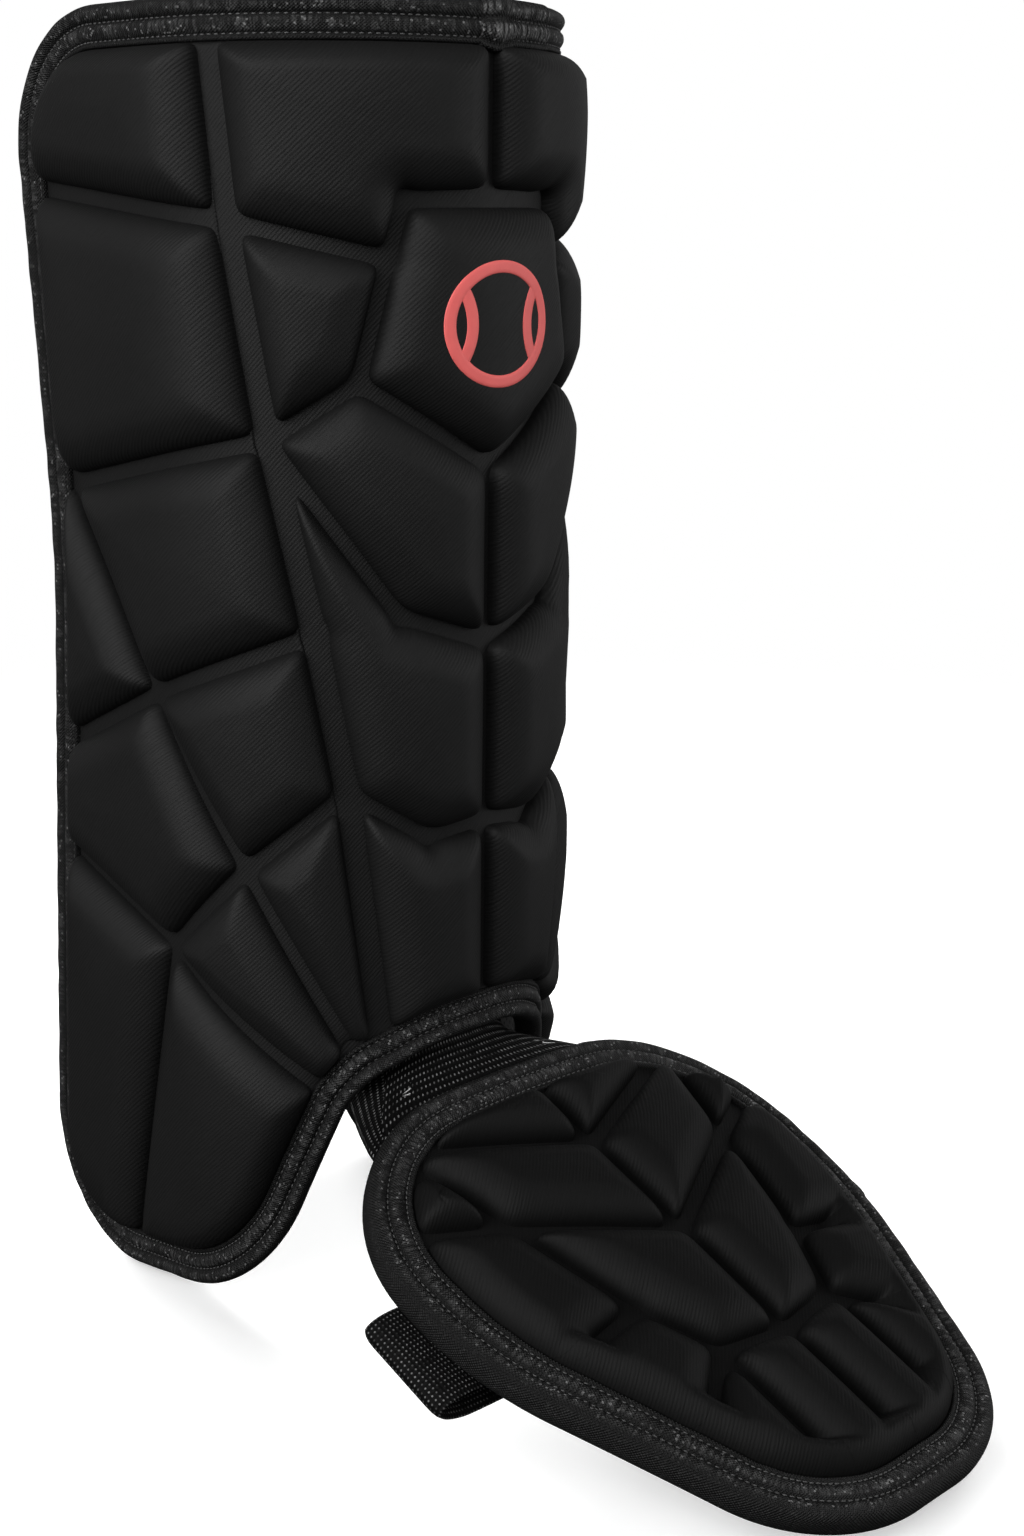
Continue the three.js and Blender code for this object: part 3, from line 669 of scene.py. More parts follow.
# Pads
class Pad:
    """A flat-topped pad inside a loop of grooves.

    depth(x, y) is the blended least of the distances to its edges, each less that edge's half groove, and of
    the depth behind the tape: -k log(sum(exp(-d / k))), which rounds the corners.
    """

    RAY_PITCH = 1.15
    GUIDE_RAYS = 720
    HALVINGS = 24
    SEARCH = 2.0
    LEAST_SLOPE = 3.0
    MOST_SLOPE = 0.85
    ROOT_LEVEL = -0.3
    ROOT_DROP = 1.2

    def __init__(self, nodes, insets, field, rim, rise=PAD_RISE, slope=PAD_SLOPE, blend=PAD_CORNER):
        self.nodes = np.asarray(nodes, float)
        self.insets = insets
        self.field = field
        self.rim = rim
        self.rise = rise
        self.blend = blend
        self.rim_share = slope / RIM_SLOPE
        self.centre, self.deepest = self.find_centre()
        self.slope = self.widest_slope(slope)
        self.rim_share = self.slope / RIM_SLOPE

    def depth(self, x, y):
        runs = np.roll(self.nodes, -1, axis=0) - self.nodes
        terms = [(self.field.at(x, y) - self.rim) * self.rim_share]
        for start, run, inset in zip(self.nodes, runs, self.insets):
            dx, dy = x - start[0], y - start[1]
            share = np.clip((dx * run[0] + dy * run[1]) / (run @ run), 0, 1)
            terms.append(np.hypot(dx - share * run[0], dy - share * run[1]) - inset)
        terms = np.stack(terms)
        least = terms.min(0)
        return least - self.blend * np.log(np.exp((least - terms) / self.blend).sum(0))

    def inside(self, x, y):
        """Even number of edges crossed by a ray to the right means outside."""
        odd = np.zeros(x.shape, bool)
        for (x0, y0), (x1, y1) in zip(self.nodes, np.roll(self.nodes, -1, axis=0)):
            spans = (y0 > y) != (y1 > y)
            rise = y1 - y0 if y1 != y0 else 1e-9
            odd ^= spans & (x < x0 + (x1 - x0) * (y - y0) / rise)
        return odd

    def find_centre(self):
        low, high = self.nodes.min(0), self.nodes.max(0)
        x, y = np.meshgrid(*(np.arange(a, b, self.SEARCH) for a, b in zip(low, high)), indexing="ij")
        depth = np.where(self.inside(x, y), self.depth(x, y), -np.inf)
        best = np.unravel_index(depth.argmax(), depth.shape)
        return np.array([x[best], y[best]]), depth[best]

    def widest_slope(self, slope):
        """The slope narrows until every ray from the centre meets each of its levels only once."""
        turn = np.linspace(0, TAU, self.GUIDE_RAYS, endpoint=False)
        rays = np.stack([np.cos(turn), np.sin(turn)], -1)
        reach = self.reach_of(rays, np.zeros(1)) * np.linspace(0, 1, 100)
        self.longest = reach.max() / self.deepest
        depth = self.depth(self.centre[0] + reach * rays[:, :1], self.centre[1] + reach * rays[:, 1:])
        slope = min(slope, self.MOST_SLOPE * self.deepest)
        while slope > self.LEAST_SLOPE:
            levels = slope * np.array([0.35, 0.6, 0.85, 1.0])
            above = depth[..., None] > levels
            if (np.diff(above.astype(int), axis=1) != 0).sum(1).max() <= 1:
                break
            slope *= 0.92
        return slope

    def ray_ends(self, rays):
        """Where each ray from the centre first meets the loop of nodes."""
        start = self.nodes - self.centre
        run = np.roll(start, -1, axis=0) - start
        across = cross(rays[:, None, :], run[None])
        across = np.where(np.abs(across) < 1e-9, 1e-9, across)
        reach = cross(start, run)[None] / across
        share = cross(start[None], rays[:, None, :]) / across
        hit = (reach > 0) & (share > -1e-6) & (share < 1 + 1e-6)
        return np.where(hit, reach, np.inf).min(1)

    def reach_of(self, rays, levels):
        """Distance along each ray at which the depth has fallen to each level, by halving."""
        near = np.zeros((len(rays), len(levels)))
        far = np.repeat(self.ray_ends(rays)[:, None], len(levels), axis=1)
        for _ in range(self.HALVINGS):
            middle = (near + far) / 2
            x = self.centre[0] + middle * rays[:, :1]
            y = self.centre[1] + middle * rays[:, 1:]
            deeper = self.depth(x, y) > levels
            near, far = np.where(deeper, middle, near), np.where(deeper, far, middle)
        return near

    def rays(self):
        """Directions to points spaced evenly along the pad's foot."""
        turn = np.linspace(0, TAU, self.GUIDE_RAYS, endpoint=False)
        guide = np.stack([np.cos(turn), np.sin(turn)], -1)
        foot = guide * self.reach_of(guide, np.zeros(1))
        closed = np.concatenate([foot, foot[:1]])
        run = np.concatenate([[0], np.cumsum(np.linalg.norm(np.diff(closed, axis=0), axis=1))])
        even = np.linspace(0, run[-1], int(run[-1] / self.RAY_PITCH), endpoint=False)
        return unit(np.stack([np.interp(even, run, closed[:, k]) for k in (0, 1)], -1))

    def shell(self, place, floor, top_rings=6, turns=None):
        """Closed shell. Wall: depth = slope * c and height = rise * ((1 - s) * sin(t)^(2/p) + s * c), with
        c = 1 - cos(t)^(2/p), slant share s and steepness p: a quarter of a rounded square, slanted. Its foot
        lies on the floor's own height, and its top has a slight crown."""
        turns = turns or int(np.clip(5 * self.longest, 10, 26))
        turn = np.linspace(0, math.pi / 2, turns)
        power = 2 / PAD_STEEP
        share = 1 - np.cos(turn) ** power
        levels = np.concatenate([[self.ROOT_LEVEL], self.slope * share])
        high = np.concatenate([[0], np.sin(turn) ** power * (1 - PAD_SLANT) + share * PAD_SLANT])
        rays = self.rays()
        wall = self.reach_of(rays, levels).T
        inner = np.linspace(1, 0, top_rings + 1)[1:-1, None] * wall[-1]
        under = np.linspace(0, 1, 5)[1:-1, None] * wall[0]
        reach = np.concatenate([under, wall, inner])
        high = np.concatenate([np.zeros(len(under)), high, np.ones(len(inner))])[:, None]
        rooted, free = np.full(len(under) + 1, -self.ROOT_DROP), np.zeros(len(levels) - 1 + len(inner))
        lower = np.concatenate([rooted, free])[:, None]
        x = self.centre[0] + reach * rays[:, 0]
        y = self.centre[1] + reach * rays[:, 1]
        points = place(x, y, self.height(x, y, high, floor) + lower)
        tips = [place(c[0], c[1], h) for c, h in self.tips(floor)]
        rows, columns = reach.shape
        quads, _ = grid_faces(rows, columns, wrap_columns=True)
        flat = np.stack([x, y], -1).reshape(-1, 2)
        flat = np.concatenate([flat, self.centre[None], self.centre[None]])
        ring = np.arange(columns)
        low_tip = np.stack([np.full(columns, rows * columns), (ring + 1) % columns, ring], -1)
        last = (rows - 1) * columns
        high_tip = [np.full(columns, rows * columns + 1), last + ring, last + (ring + 1) % columns]
        high_tip = np.stack(high_tip, -1)
        faces = [quads, low_tip, high_tip]
        points = np.concatenate([points.reshape(-1, 3), np.array(tips).reshape(-1, 3)])
        return points, faces, [flat[block] for block in faces]

    def height(self, x, y, high, floor):
        """The greater of the floor and rise * high, with a faint waviness and, clear of the floor, a crown."""
        extra = np.maximum(self.depth(x, y) - self.slope, 0)
        share = self.rise / PAD_RISE
        base = floor(x, y)
        crown = PAD_CROWN * share * (1 - np.exp(-extra / PAD_CROWN_SPAN)) * (1 - base / PAD_RISE)
        return np.maximum(base, (self.rise + waviness(x, y) * share) * high) + crown * high

    def tips(self, floor):
        x, y = (np.array([value]) for value in self.centre)
        top = self.height(x, y, 1.0, floor)
        low = self.height(x, y, 0.0, floor) - self.ROOT_DROP
        return [(self.centre, low[0]), (self.centre, top[0])]


# Slow waves that cross each other at odd angles: turn per millimetre across and along, start, height
WAVES = [
    (0.11, 0.043, 0.3, 0.14),
    (-0.052, 0.097, 1.7, 0.12),
    (0.071, -0.139, 4.1, 0.08),
    (0.023, 0.031, 2.2, 0.15),
]


def waviness(x, y):
    """Sum of size * sin(a x + b y + start)."""
    return sum(size * np.sin(a * x + b * y + start) for a, b, start, size in WAVES)


def flat_floor(x, y):
    return np.zeros(np.shape(x))


def pad_loops(pads, nodes, place):
    """Each pad's loop and its mirror image, anticlockwise, with the node names in the same order."""
    loops = []
    for words in pads.values():
        names = words.split()
        for side in (1, -1):
            loop = np.array([place(*nodes[name]) for name in names]) * (side, 1)
            if cross(loop, np.roll(loop, -1, axis=0)).sum() < 0:
                loop, ordered = loop[::-1], names[::-1]
            else:
                ordered = names
            loops.append((loop, ordered))
    return loops


def groove_insets(names):
    """Half the groove beside each edge: the long seam's grooves are wider."""
    after = names[1:] + names[:1]
    wide = [a.startswith("seam") and b.startswith("seam") for a, b in zip(names, after)]
    return [(SEAM_GROOVE if w else GROOVE) / 2 for w in wide]


def shin_place(side, up):
    return side * HALF_GIRTH, (up - 0.5) * PANEL_HEIGHT


def foot_place(side, along):
    return side * FOOT_HALF_WIDTH, -along * FOOT_LENGTH


def shield_loop():
    half = [shin_place(*SHIN_NODES[name]) for name in SHIELD_HALF.split()]
    tip = shin_place(*SHIN_NODES["shieldTip"])
    loop = np.array([*half, tip, *[(-x, y) for x, y in reversed(half)]])
    return loop[::-1]


def sheet_shell(field, place, cell, edge):
    """The backing sheet: the cells of a square grid that lie inside the outline, with their outermost points
    moved along the depth's slope onto the edge, once on the face and once on the back, with walls between."""
    x, y = (np.arange(a, b, cell) for a, b in zip(field.low, field.high))
    x, y = np.meshgrid(x, y, indexing="ij")
    depth = field.at(x, y)
    kept = depth > edge + 0.3 * cell
    cells = kept[:-1, :-1] & kept[1:, :-1] & kept[:-1, 1:] & kept[1:, 1:]
    padded = np.pad(cells, 1)
    whole = padded[:-1, :-1] & padded[1:, :-1] & padded[:-1, 1:] & padded[1:, 1:]
    rim = kept & ~whole
    probe = 0.5
    slope_x = (field.at(x + probe, y) - field.at(x - probe, y)) / (2 * probe)
    slope_y = (field.at(x, y + probe) - field.at(x, y - probe)) / (2 * probe)
    move = np.where(rim, depth - edge, 0)
    x, y = x - move * slope_x, y - move * slope_y
    columns = x.shape[1]
    i, j = np.nonzero(cells)
    corner = i * columns + j
    face = np.stack([corner, corner + columns, corner + columns + 1, corner + 1], -1)
    back = face[:, ::-1] + x.size
    walls = []
    sides = [((0, -1), 0, 1), ((1, 0), 1, 2), ((0, 1), 2, 3), ((-1, 0), 3, 0)]
    for (di, dj), a, b in sides:
        open_side = ~padded[i + 1 + di, j + 1 + dj]
        first, second = face[open_side, a], face[open_side, b]
        walls.append(np.stack([second, first, first + x.size, second + x.size], -1))
    faces = np.concatenate([face, back, *walls])
    flat = np.concatenate([np.stack([x, y], -1).reshape(-1, 2)] * 2)
    points = np.concatenate([place(x, y, 0 * x).reshape(-1, 3), place(x, y, 0 * x - SHEET).reshape(-1, 3)])
    used, numbers = np.unique(faces, return_inverse=True)
    faces = numbers.reshape(faces.shape)
    return points[used], [faces], [flat[used][faces]]


SHEET_CELL = 3.0
SHEET_EDGE = 0.4
TERRACE_INSET = 0.15
TERRACE_CORNER = 0.4


def shin_pads(material):
    """Pads, the shield, the terraces at both sides and the sheet behind them."""
    rim = SHIN_TAPE_WIDTH + RIM_GAP
    loops = pad_loops(SHIN_PADS, SHIN_NODES, shin_place)
    pads = [Pad(loop, groove_insets(names), shin_field, rim) for loop, names in loops]
    pads.append(Pad(shield_loop(), [GROOVE / 2] * 7, shin_field, rim))
    parts = [pad.shell(on_shin, flat_floor) for pad in pads]
    for loop, names in pad_loops({"terrace": TERRACE}, SHIN_NODES, shin_place):
        insets = [inset + TERRACE_INSET for inset in groove_insets(names)]
        terrace = Pad(loop, insets, shin_field, rim, TERRACE_RISE, TERRACE_SLOPE, TERRACE_CORNER)
        parts.append(terrace.shell(on_shin, flat_floor, 24, 4))
    parts.append(sheet_shell(shin_field, on_shin, SHEET_CELL, SHEET_EDGE))
    piece = build_piece("shin_pads", *join_parts(parts), material, "foam_cloth")
    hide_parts("shin_panel")


LINING_GAP = 0.05
LINING_SHARE = 0.15
LINING_EDGE = 0.9


def lining(name, field, width, place, material):
    """A thin sheet of mesh laid on the back of the foam, its rim tucked under the tape."""
    def behind(x, y, out):
        return place(x, y, out * LINING_SHARE - SHEET - LINING_GAP)
    build_piece(name, *sheet_shell(field, behind, SHEET_CELL, LINING_EDGE * width), material, "foam_cloth")


TOE_FADE_NEAR = 3.5
TOE_FADE_FAR = 12.5
TOE_RIM_DROP = 0.12
TOE_START = 0.36
TOE_WHOLE = 0.55
TOE_SHARE = 0.99


def smooth_step(value, low, high):
    share = np.clip((value - low) / (high - low), 0, 1)
    return share * share * (3 - 2 * share)


def toe_floor(x, y):
    """Floor of the foot's grooves: in the toe half it rises beside the rim, with the pads' own wall."""
    behind = foot_field.at(x, y) - FOOT_TAPE_WIDTH - RIM_GAP
    near = 1 - smooth_step(behind, TOE_FADE_NEAR, TOE_FADE_FAR)
    toe = smooth_step(-y, TOE_START * FOOT_LENGTH, TOE_WHOLE * FOOT_LENGTH)
    wall = np.clip(behind / RIM_SLOPE, 0, 1)
    wall = (1 - PAD_SLANT) * (1 - (1 - wall) ** PAD_STEEP) ** (1 / PAD_STEEP) + PAD_SLANT * wall
    return TOE_SHARE * (PAD_RISE + waviness(x, y)) * near * toe * wall


def foot_pads(material):
    """Pads, the sheet behind them and the toe's rim."""
    rim = FOOT_TAPE_WIDTH + RIM_GAP
    loops = [loop for loop, _ in pad_loops(FOOT_PADS, FOOT_NODES, foot_place)]
    insets = [[GROOVE / 2] * len(loop) for loop in loops]
    pads = [Pad(loop, inset, foot_field, rim, slope=FOOT_PAD_SLOPE) for loop, inset in zip(loops, insets)]
    parts = [pad.shell(on_foot, toe_floor) for pad in pads]
    parts.append(sheet_shell(foot_field, on_foot, SHEET_CELL, SHEET_EDGE))
    parts.append(toe_rim())
    piece = build_piece("foot_pads", *join_parts(parts), material, "foam_cloth")
    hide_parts("foot_panel")


def toe_rim():
    """The pads run together beside the toe's rim: one pad as wide as the foot, on the grooves' own floor."""
    low, high = foot_field.low, foot_field.high
    box = np.array([(low[0], low[1]), (high[0], low[1]), (high[0], high[1]), (low[0], high[1])])
    pad = Pad(box, [0] * 4, foot_field, FOOT_TAPE_WIDTH + RIM_GAP)
    pad.centre = np.array([0.0, -0.5 * FOOT_LENGTH])
    pad.deepest = pad.depth(*pad.centre)
    pad.slope = RIM_SLOPE
    pad.rim_share = 1.0
    pad.height = lambda x, y, high, floor: floor(x, y) - TOE_RIM_DROP
    return pad.shell(on_foot, toe_floor, 26, 10)


# Sweeps
def smooth_curve(knots, count, closed=False):
    """Catmull-Rom curve: between knots b and c, with neighbours a and d and share t,
    0.5 * (2b + (c - a) t + (2a - 5b + 4c - d) t^2 + (3b - a - 3c + d) t^3), at evenly spaced lengths."""
    knots = np.asarray(knots, float)
    if closed:
        ring = [np.roll(knots, k, axis=0) for k in (1, 0, -1, -2)]
    else:
        ends = np.concatenate([[2 * knots[0] - knots[1]], knots, [2 * knots[-1] - knots[-2]]])
        ring = [ends[k: len(ends) - 3 + k] for k in range(4)]
    a, b, c, d = (part[:, None, :] for part in ring)
    t = np.linspace(0, 1, 24, endpoint=False)[None, :, None]
    curve = 0.5 * (2 * b + (c - a) * t + (2 * a - 5 * b + 4 * c - d) * t**2 + (3 * b - a - 3 * c + d) * t**3)
    curve = curve.reshape(-1, knots.shape[1])
    curve = np.concatenate([curve, knots[:1] if closed else knots[-1:]])
    run = np.concatenate([[0], np.cumsum(np.linalg.norm(np.diff(curve, axis=0), axis=1))])
    even = np.linspace(0, run[-1], count, endpoint=not closed)
    return np.stack([np.interp(even, run, curve[:, k]) for k in range(curve.shape[1])], -1), run[-1]


# Section of the folded tape: share of the width in from the edge, and height over the sheet's face
TAPE_SECTION = [
    (1.0, -0.6),
    (1.0, 1.0),
    (0.96, 1.5),
    (0.91, 1.45),
    (0.85, 0.75),
    (0.78, 1.5),
    (0.65, 2.1),
    (0.50, 1.85),
    (0.41, 0.75),
    (0.34, 1.6),
    (0.20, 2.3),
    (0.06, 1.9),
    (-0.03, 0.8),
    (-0.07, -0.8),
    (-0.07, -2.8),
    (-0.04, -4.3),
    (0.05, -5.2),
    (0.3, -5.3),
    (0.8, -5.1),
    (0.97, -4.9),
    (1.0, -3.0),
]
TAPE_STITCH_ROWS = [(0.85, 1.0), (0.41, 1.0)]
TAPE_RIPPLE = 0.12
TAPE_FACE = 0.5


def tape_section(width):
    return smooth_curve([(share * width, height) for share, height in TAPE_SECTION], TAPE_RING, closed=True)


def edge_tape(name, corners, width, place, material, replaced):
    """The section carried round the outline: flat place = outline + inset * inward normal, at its height."""
    points, inward, run, length = rounded_outline(corners, TAPE_PITCH)
    section, girth = tape_section(width)
    x = points[:, :1] + inward[:, :1] * section[:, 0]
    y = points[:, 1:] + inward[:, 1:] * section[:, 0]
    ripple = TAPE_RIPPLE * np.sin(run * 0.41 + 2 * np.sin(run * 0.09)) * np.sin(run * 0.13)
    out = section[:, 1] + ripple[:, None] * (section[:, 1] > TAPE_FACE)
    shape = place(x, y, out)
    rows, columns = out.shape
    quads, pattern = grid_faces(rows, columns, wrap_rows=True, wrap_columns=True)
    u = np.append(run, length)[:, None] + np.zeros(columns + 1)
    v = np.linspace(0, girth, columns + 1) + np.zeros((rows + 1, 1))
    marks = np.stack([u, v], -1).reshape(-1, 2)[pattern]
    piece = build_piece(name, shape.reshape(-1, 3), [quads], [marks], material, "knit_tape")
    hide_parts(replaced)


JOINT_FROM = -4.0
JOINT_TO = 24.0
JOINT_LAP = 0.30
JOINT_RAMP = 0.8
JOINT_MIDDLE = (0.46, -1.4)
LUMP_RISE = 1.5
LUMP_PLACE = 5.5
LUMP_REACH = 3.6
PUCKER_RISE = 0.10
PUCKER_TURN = 3.1


def tape_joint(material):
    """The shin tape's end laps over its start at the top edge: the tape's own section, grown from its middle by
    lap * sqrt(distance from the end / ramp), and by a lump, rise * exp(-((x - place) / reach)^2), that puckers."""
    points, inward, run, _ = rounded_outline(shin_corners, FINE_PITCH)
    on_top = (points[:, 1] > PANEL_HEIGHT / 2 - 0.01) & (points[:, 0] > JOINT_FROM) & (points[:, 0] < JOINT_TO)
    points, inward, run = points[on_top], inward[on_top], run[on_top]
    section, girth = tape_section(SHIN_TAPE_WIDTH)
    away = section - np.array([JOINT_MIDDLE[0] * SHIN_TAPE_WIDTH, JOINT_MIDDLE[1]])
    end = np.minimum(points[:, 0] - JOINT_FROM, JOINT_TO - points[:, 0])
    lap = JOINT_LAP * np.sqrt(np.clip(end / JOINT_RAMP, 0, 1))
    lump = LUMP_RISE * np.exp(-((points[:, 0] - JOINT_FROM - LUMP_PLACE) / LUMP_REACH)**2)
    pucker = PUCKER_RISE * np.sin(points[:, 0] * PUCKER_TURN) * (end > JOINT_RAMP)
    grown = section[None] + unit(away)[None] * (lap + lump + pucker)[:, None, None]
    x = points[:, :1] + inward[:, :1] * grown[..., 0]
    y = points[:, 1:] + inward[:, 1:] * grown[..., 0]
    shape = on_shin(x, y, grown[..., 1])
    rows, columns = x.shape
    quads, _ = grid_faces(rows, columns, wrap_columns=True)
    ring = np.arange(columns)
    blocks = [quads, ring[None, ::-1], ring[None] + (rows - 1) * columns]
    place = np.stack(np.broadcast_arrays(run[:, None], np.linspace(0, girth, columns)[None]), -1)
    marks = [place.reshape(-1, 2)[block] for block in blocks]
    build_piece("tape_joint", shape.reshape(-1, 3), blocks, marks, material, "knit_tape")


STITCH_PITCH = 1.9
STITCH_HALF = 0.55
STITCH_RADIUS = 0.25
STITCH_SIDES = 6


def stitch_rows(name, corners, width, place, material):
    """Short round threads: a stitch point is centre + r(t) * (cos a, sin a) about the line along the tape, with
    r(t) = r * sqrt(1 - t^2) and t from -1 to 1."""
    share = np.array([-1, -0.8, 0, 0.8, 1])
    angle = np.linspace(0, TAU, STITCH_SIDES, endpoint=False)
    fat = STITCH_RADIUS * np.sqrt(np.maximum(1 - share**2, 0.02))
    parts = []
    for inset_share, height in TAPE_STITCH_ROWS:
        points, inward, _, _ = rounded_outline(corners, STITCH_PITCH)
        along = turned(inward, -math.pi / 2)
        t = share[None, :, None] * STITCH_HALF
        side = fat[None, :, None] * np.cos(angle)
        lift = fat[None, :, None] * np.sin(angle) + height
        inset = inset_share * width + side
        x = points[:, 0, None, None] + inward[:, 0, None, None] * inset + along[:, 0, None, None] * t
        y = points[:, 1, None, None] + inward[:, 1, None, None] * inset + along[:, 1, None, None] * t
        shape = place(x, y, lift + 0 * x)
        quads, _ = grid_faces(len(share), STITCH_SIDES, wrap_columns=True)
        ring = np.arange(STITCH_SIDES)
        ends = np.array([ring[::-1], ring + STITCH_SIDES * (len(share) - 1)])
        offsets = np.arange(len(points))[:, None, None] * len(share) * STITCH_SIDES
        flat = np.stack([x, y], -1).reshape(-1, 2)
        blocks = [(quads[None] + offsets).reshape(-1, 4), (ends[None] + offsets).reshape(-1, STITCH_SIDES)]
        parts.append((shape.reshape(-1, 3), blocks, [flat[block] for block in blocks]))
    return build_piece(name, *join_parts(parts), material, "knit_tape")


BAND_EDGE_POWER = 12
BAND_EDGE_LEAST = 0.03
BAND_END = 0.4


def band(name, middle, across, material, replaced=""):
    """Webbing: middle is a grid of points along and across the band. Its face and back lie along the grid's
    normal by half a thickness * (1 - |share across|^12), which rounds both edges."""
    middle = np.asarray(middle, float)
    rows, columns = middle.shape[:2]
    down = np.gradient(middle, axis=0)
    side = np.gradient(middle, axis=1)
    normal = unit(np.cross(down, side))
    share = np.linspace(-1, 1, columns)
    edge = np.maximum(1 - np.abs(share) ** BAND_EDGE_POWER, BAND_EDGE_LEAST)
    fat = WEBBING / 2 * edge[None, :, None]
    ends = np.ones(rows)
    ends[[0, -1]] = BAND_END
    fat = fat * ends[:, None, None]
    loop = np.concatenate([middle + normal * fat, (middle - normal * fat)[:, ::-1]], axis=1)
    around = loop.shape[1]
    quads, pattern = grid_faces(rows, around, wrap_columns=True)
    run = np.concatenate([[0], np.cumsum(np.linalg.norm(np.diff(middle[:, columns // 2], axis=0), axis=1))])
    wide = across * (share + 1) / 2
    wide = np.concatenate([wide, wide[::-1], wide[:1]])
    marks = np.stack(np.broadcast_arrays(run[:, None], wide[None, :]), -1).reshape(-1, 2)
    caps = []
    for row in (0, rows - 1):
        start = row * around + np.arange(columns - 1)
        other = row * around + around - 1 - np.arange(columns - 1)
        cap = np.stack([start, start + 1, other - 1, other], -1)
        caps.append(cap if row == 0 else cap[:, ::-1])
    cap_marks = [marks[block // around * (around + 1) + block % around] for block in caps]
    points, faces = loop.reshape(-1, 3), [quads, *caps]
    piece = build_piece(name, points, faces, [marks[pattern], *cap_marks], material, "elastic_webbing")
    if replaced:
        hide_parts(replaced)


def edge_at(outline, x, pick):
    """Height at which an outline passes a place across it, on the side that pick names."""
    after = np.roll(outline, -1, axis=0)
    heights = []
    for place in np.atleast_1d(x):
        hit = (outline[:, 0] - place) * (after[:, 0] - place) <= 0
        a, b = outline[hit], after[hit]
        share = (place - a[:, 0]) / np.where(b[:, 0] == a[:, 0], 1, b[:, 0] - a[:, 0])
        heights.append(pick(a[:, 1] + share * (b[:, 1] - a[:, 1])))
    return np.array(heights)


# Gusset: shares of the half girth and of the foot's half width, and lengths
GUSSET_REACH = 0.19
GUSSET_FOOT_REACH = 0.56
GUSSET_INSET = 1.9
GUSSET_ROWS = 40
GUSSET_WIDTH = 30.0
GUSSET_IN_SHIN = 8
GUSSET_BELOW_ARCH = 4.5
GUSSET_BEHIND_HEEL = 3.5
GUSSET_UNDER_FOOT = 8
WING_SHIN = (0.13, 0.275)
WING_FOOT = (0.40, 0.63)
WING_INSET = 4.2
WING_WIDTH = 17.0
TACK_SHIN = 0.145
TACK_FOOT = 0.43
TACK_SWING = 1.7
TACK_RADIUS = 0.26
TACK_KNOTS = 8
TACK_ROWS = (0.40, 0.58)
TACK_STEPS = 90
TACK_SIDES = 8


def gusset_middle(s, f, inset):
    """Smooth curve through four rows that follow both edges: inside the shin's tape, below it, behind the heel
    and under the heel's tape. s and f are places across the shin and the foot."""
    shin_edge = rounded_outline(shin_corners, FINE_PITCH)[0]
    foot_edge = rounded_outline(foot_corners, FINE_PITCH)[0]
    arch, heel = edge_at(shin_edge, s, np.min), edge_at(foot_edge, f, np.max)
    out = -(SHEET + inset + WEBBING / 2) + 0 * s
    rows = np.stack([
        on_shin(s, arch + GUSSET_IN_SHIN, out),
        on_shin(s, arch - GUSSET_BELOW_ARCH, out),
        on_foot(f, heel + GUSSET_BEHIND_HEEL, out),
        on_foot(f, heel - GUSSET_UNDER_FOOT, out),
    ])
    curve, _ = smooth_curve(rows.reshape(4, -1), GUSSET_ROWS)
    return curve.reshape(GUSSET_ROWS, -1, 3)


def ankle_gusset(material):
    """Elastic webbing between the arch and the heel."""
    share = np.linspace(-1, 1, 81)
    s = share * GUSSET_REACH * HALF_GIRTH
    f = share * GUSSET_FOOT_REACH * FOOT_HALF_WIDTH
    middle = gusset_middle(s, f, GUSSET_INSET).transpose(1, 0, 2)
    band("ankle_gusset", middle, GUSSET_WIDTH, material, "ankle_elastic")


def gusset_wings(material):
    """At each side the webbing is folded over, so that a short length of it runs down and outwards behind the
    main band."""
    for side, word in ((-1, "left"), (1, "right")):
        s = side * np.linspace(*WING_SHIN, 17) * HALF_GIRTH
        f = side * np.linspace(*WING_FOOT, 17) * FOOT_HALF_WIDTH
        band("gusset_wing_" + word, gusset_middle(s, f, WING_INSET), WING_WIDTH, material)


def bar_tacks(material):
    """A zigzag of light thread at each side of the gusset, where the webbing is folded: round thread of radius r
    about a path that swings from side to side as it runs down the band's outer face."""
    swing = np.where(np.arange(TACK_KNOTS) % 2 == 0, -TACK_SWING, TACK_SWING)
    row = np.linspace(*TACK_ROWS, TACK_KNOTS) * (GUSSET_ROWS - 1)
    ring = np.arange(TACK_SIDES)
    angle = np.linspace(0, TAU, TACK_SIDES, endpoint=False)[:, None]
    for side, word in ((-1, "left"), (1, "right")):
        s, f = side * TACK_SHIN * HALF_GIRTH + swing, side * TACK_FOOT * FOOT_HALF_WIDTH + swing
        middle = gusset_middle(s, f, GUSSET_INSET - WEBBING / 2 - 0.5 * TACK_RADIUS)
        knots = middle[np.round(row).astype(int), np.arange(TACK_KNOTS)]
        path, _ = smooth_curve(knots, TACK_STEPS)
        run = unit(np.gradient(path, axis=0))
        normal = unit(np.cross(run, (1.0, 0.0, 0.2)))
        other = np.cross(run, normal)
        spokes = normal[:, None] * np.cos(angle) + other[:, None] * np.sin(angle)
        shape = (path[:, None] + TACK_RADIUS * spokes).reshape(-1, 3)
        quads, _ = grid_faces(TACK_STEPS, TACK_SIDES, wrap_columns=True)
        blocks = [quads, ring[None, ::-1], ring[None] + (TACK_STEPS - 1) * TACK_SIDES]
        marks = [shape[:, :2][block] for block in blocks]
        build_piece("bar_tack_" + word, shape, blocks, marks, material, "elastic_webbing")


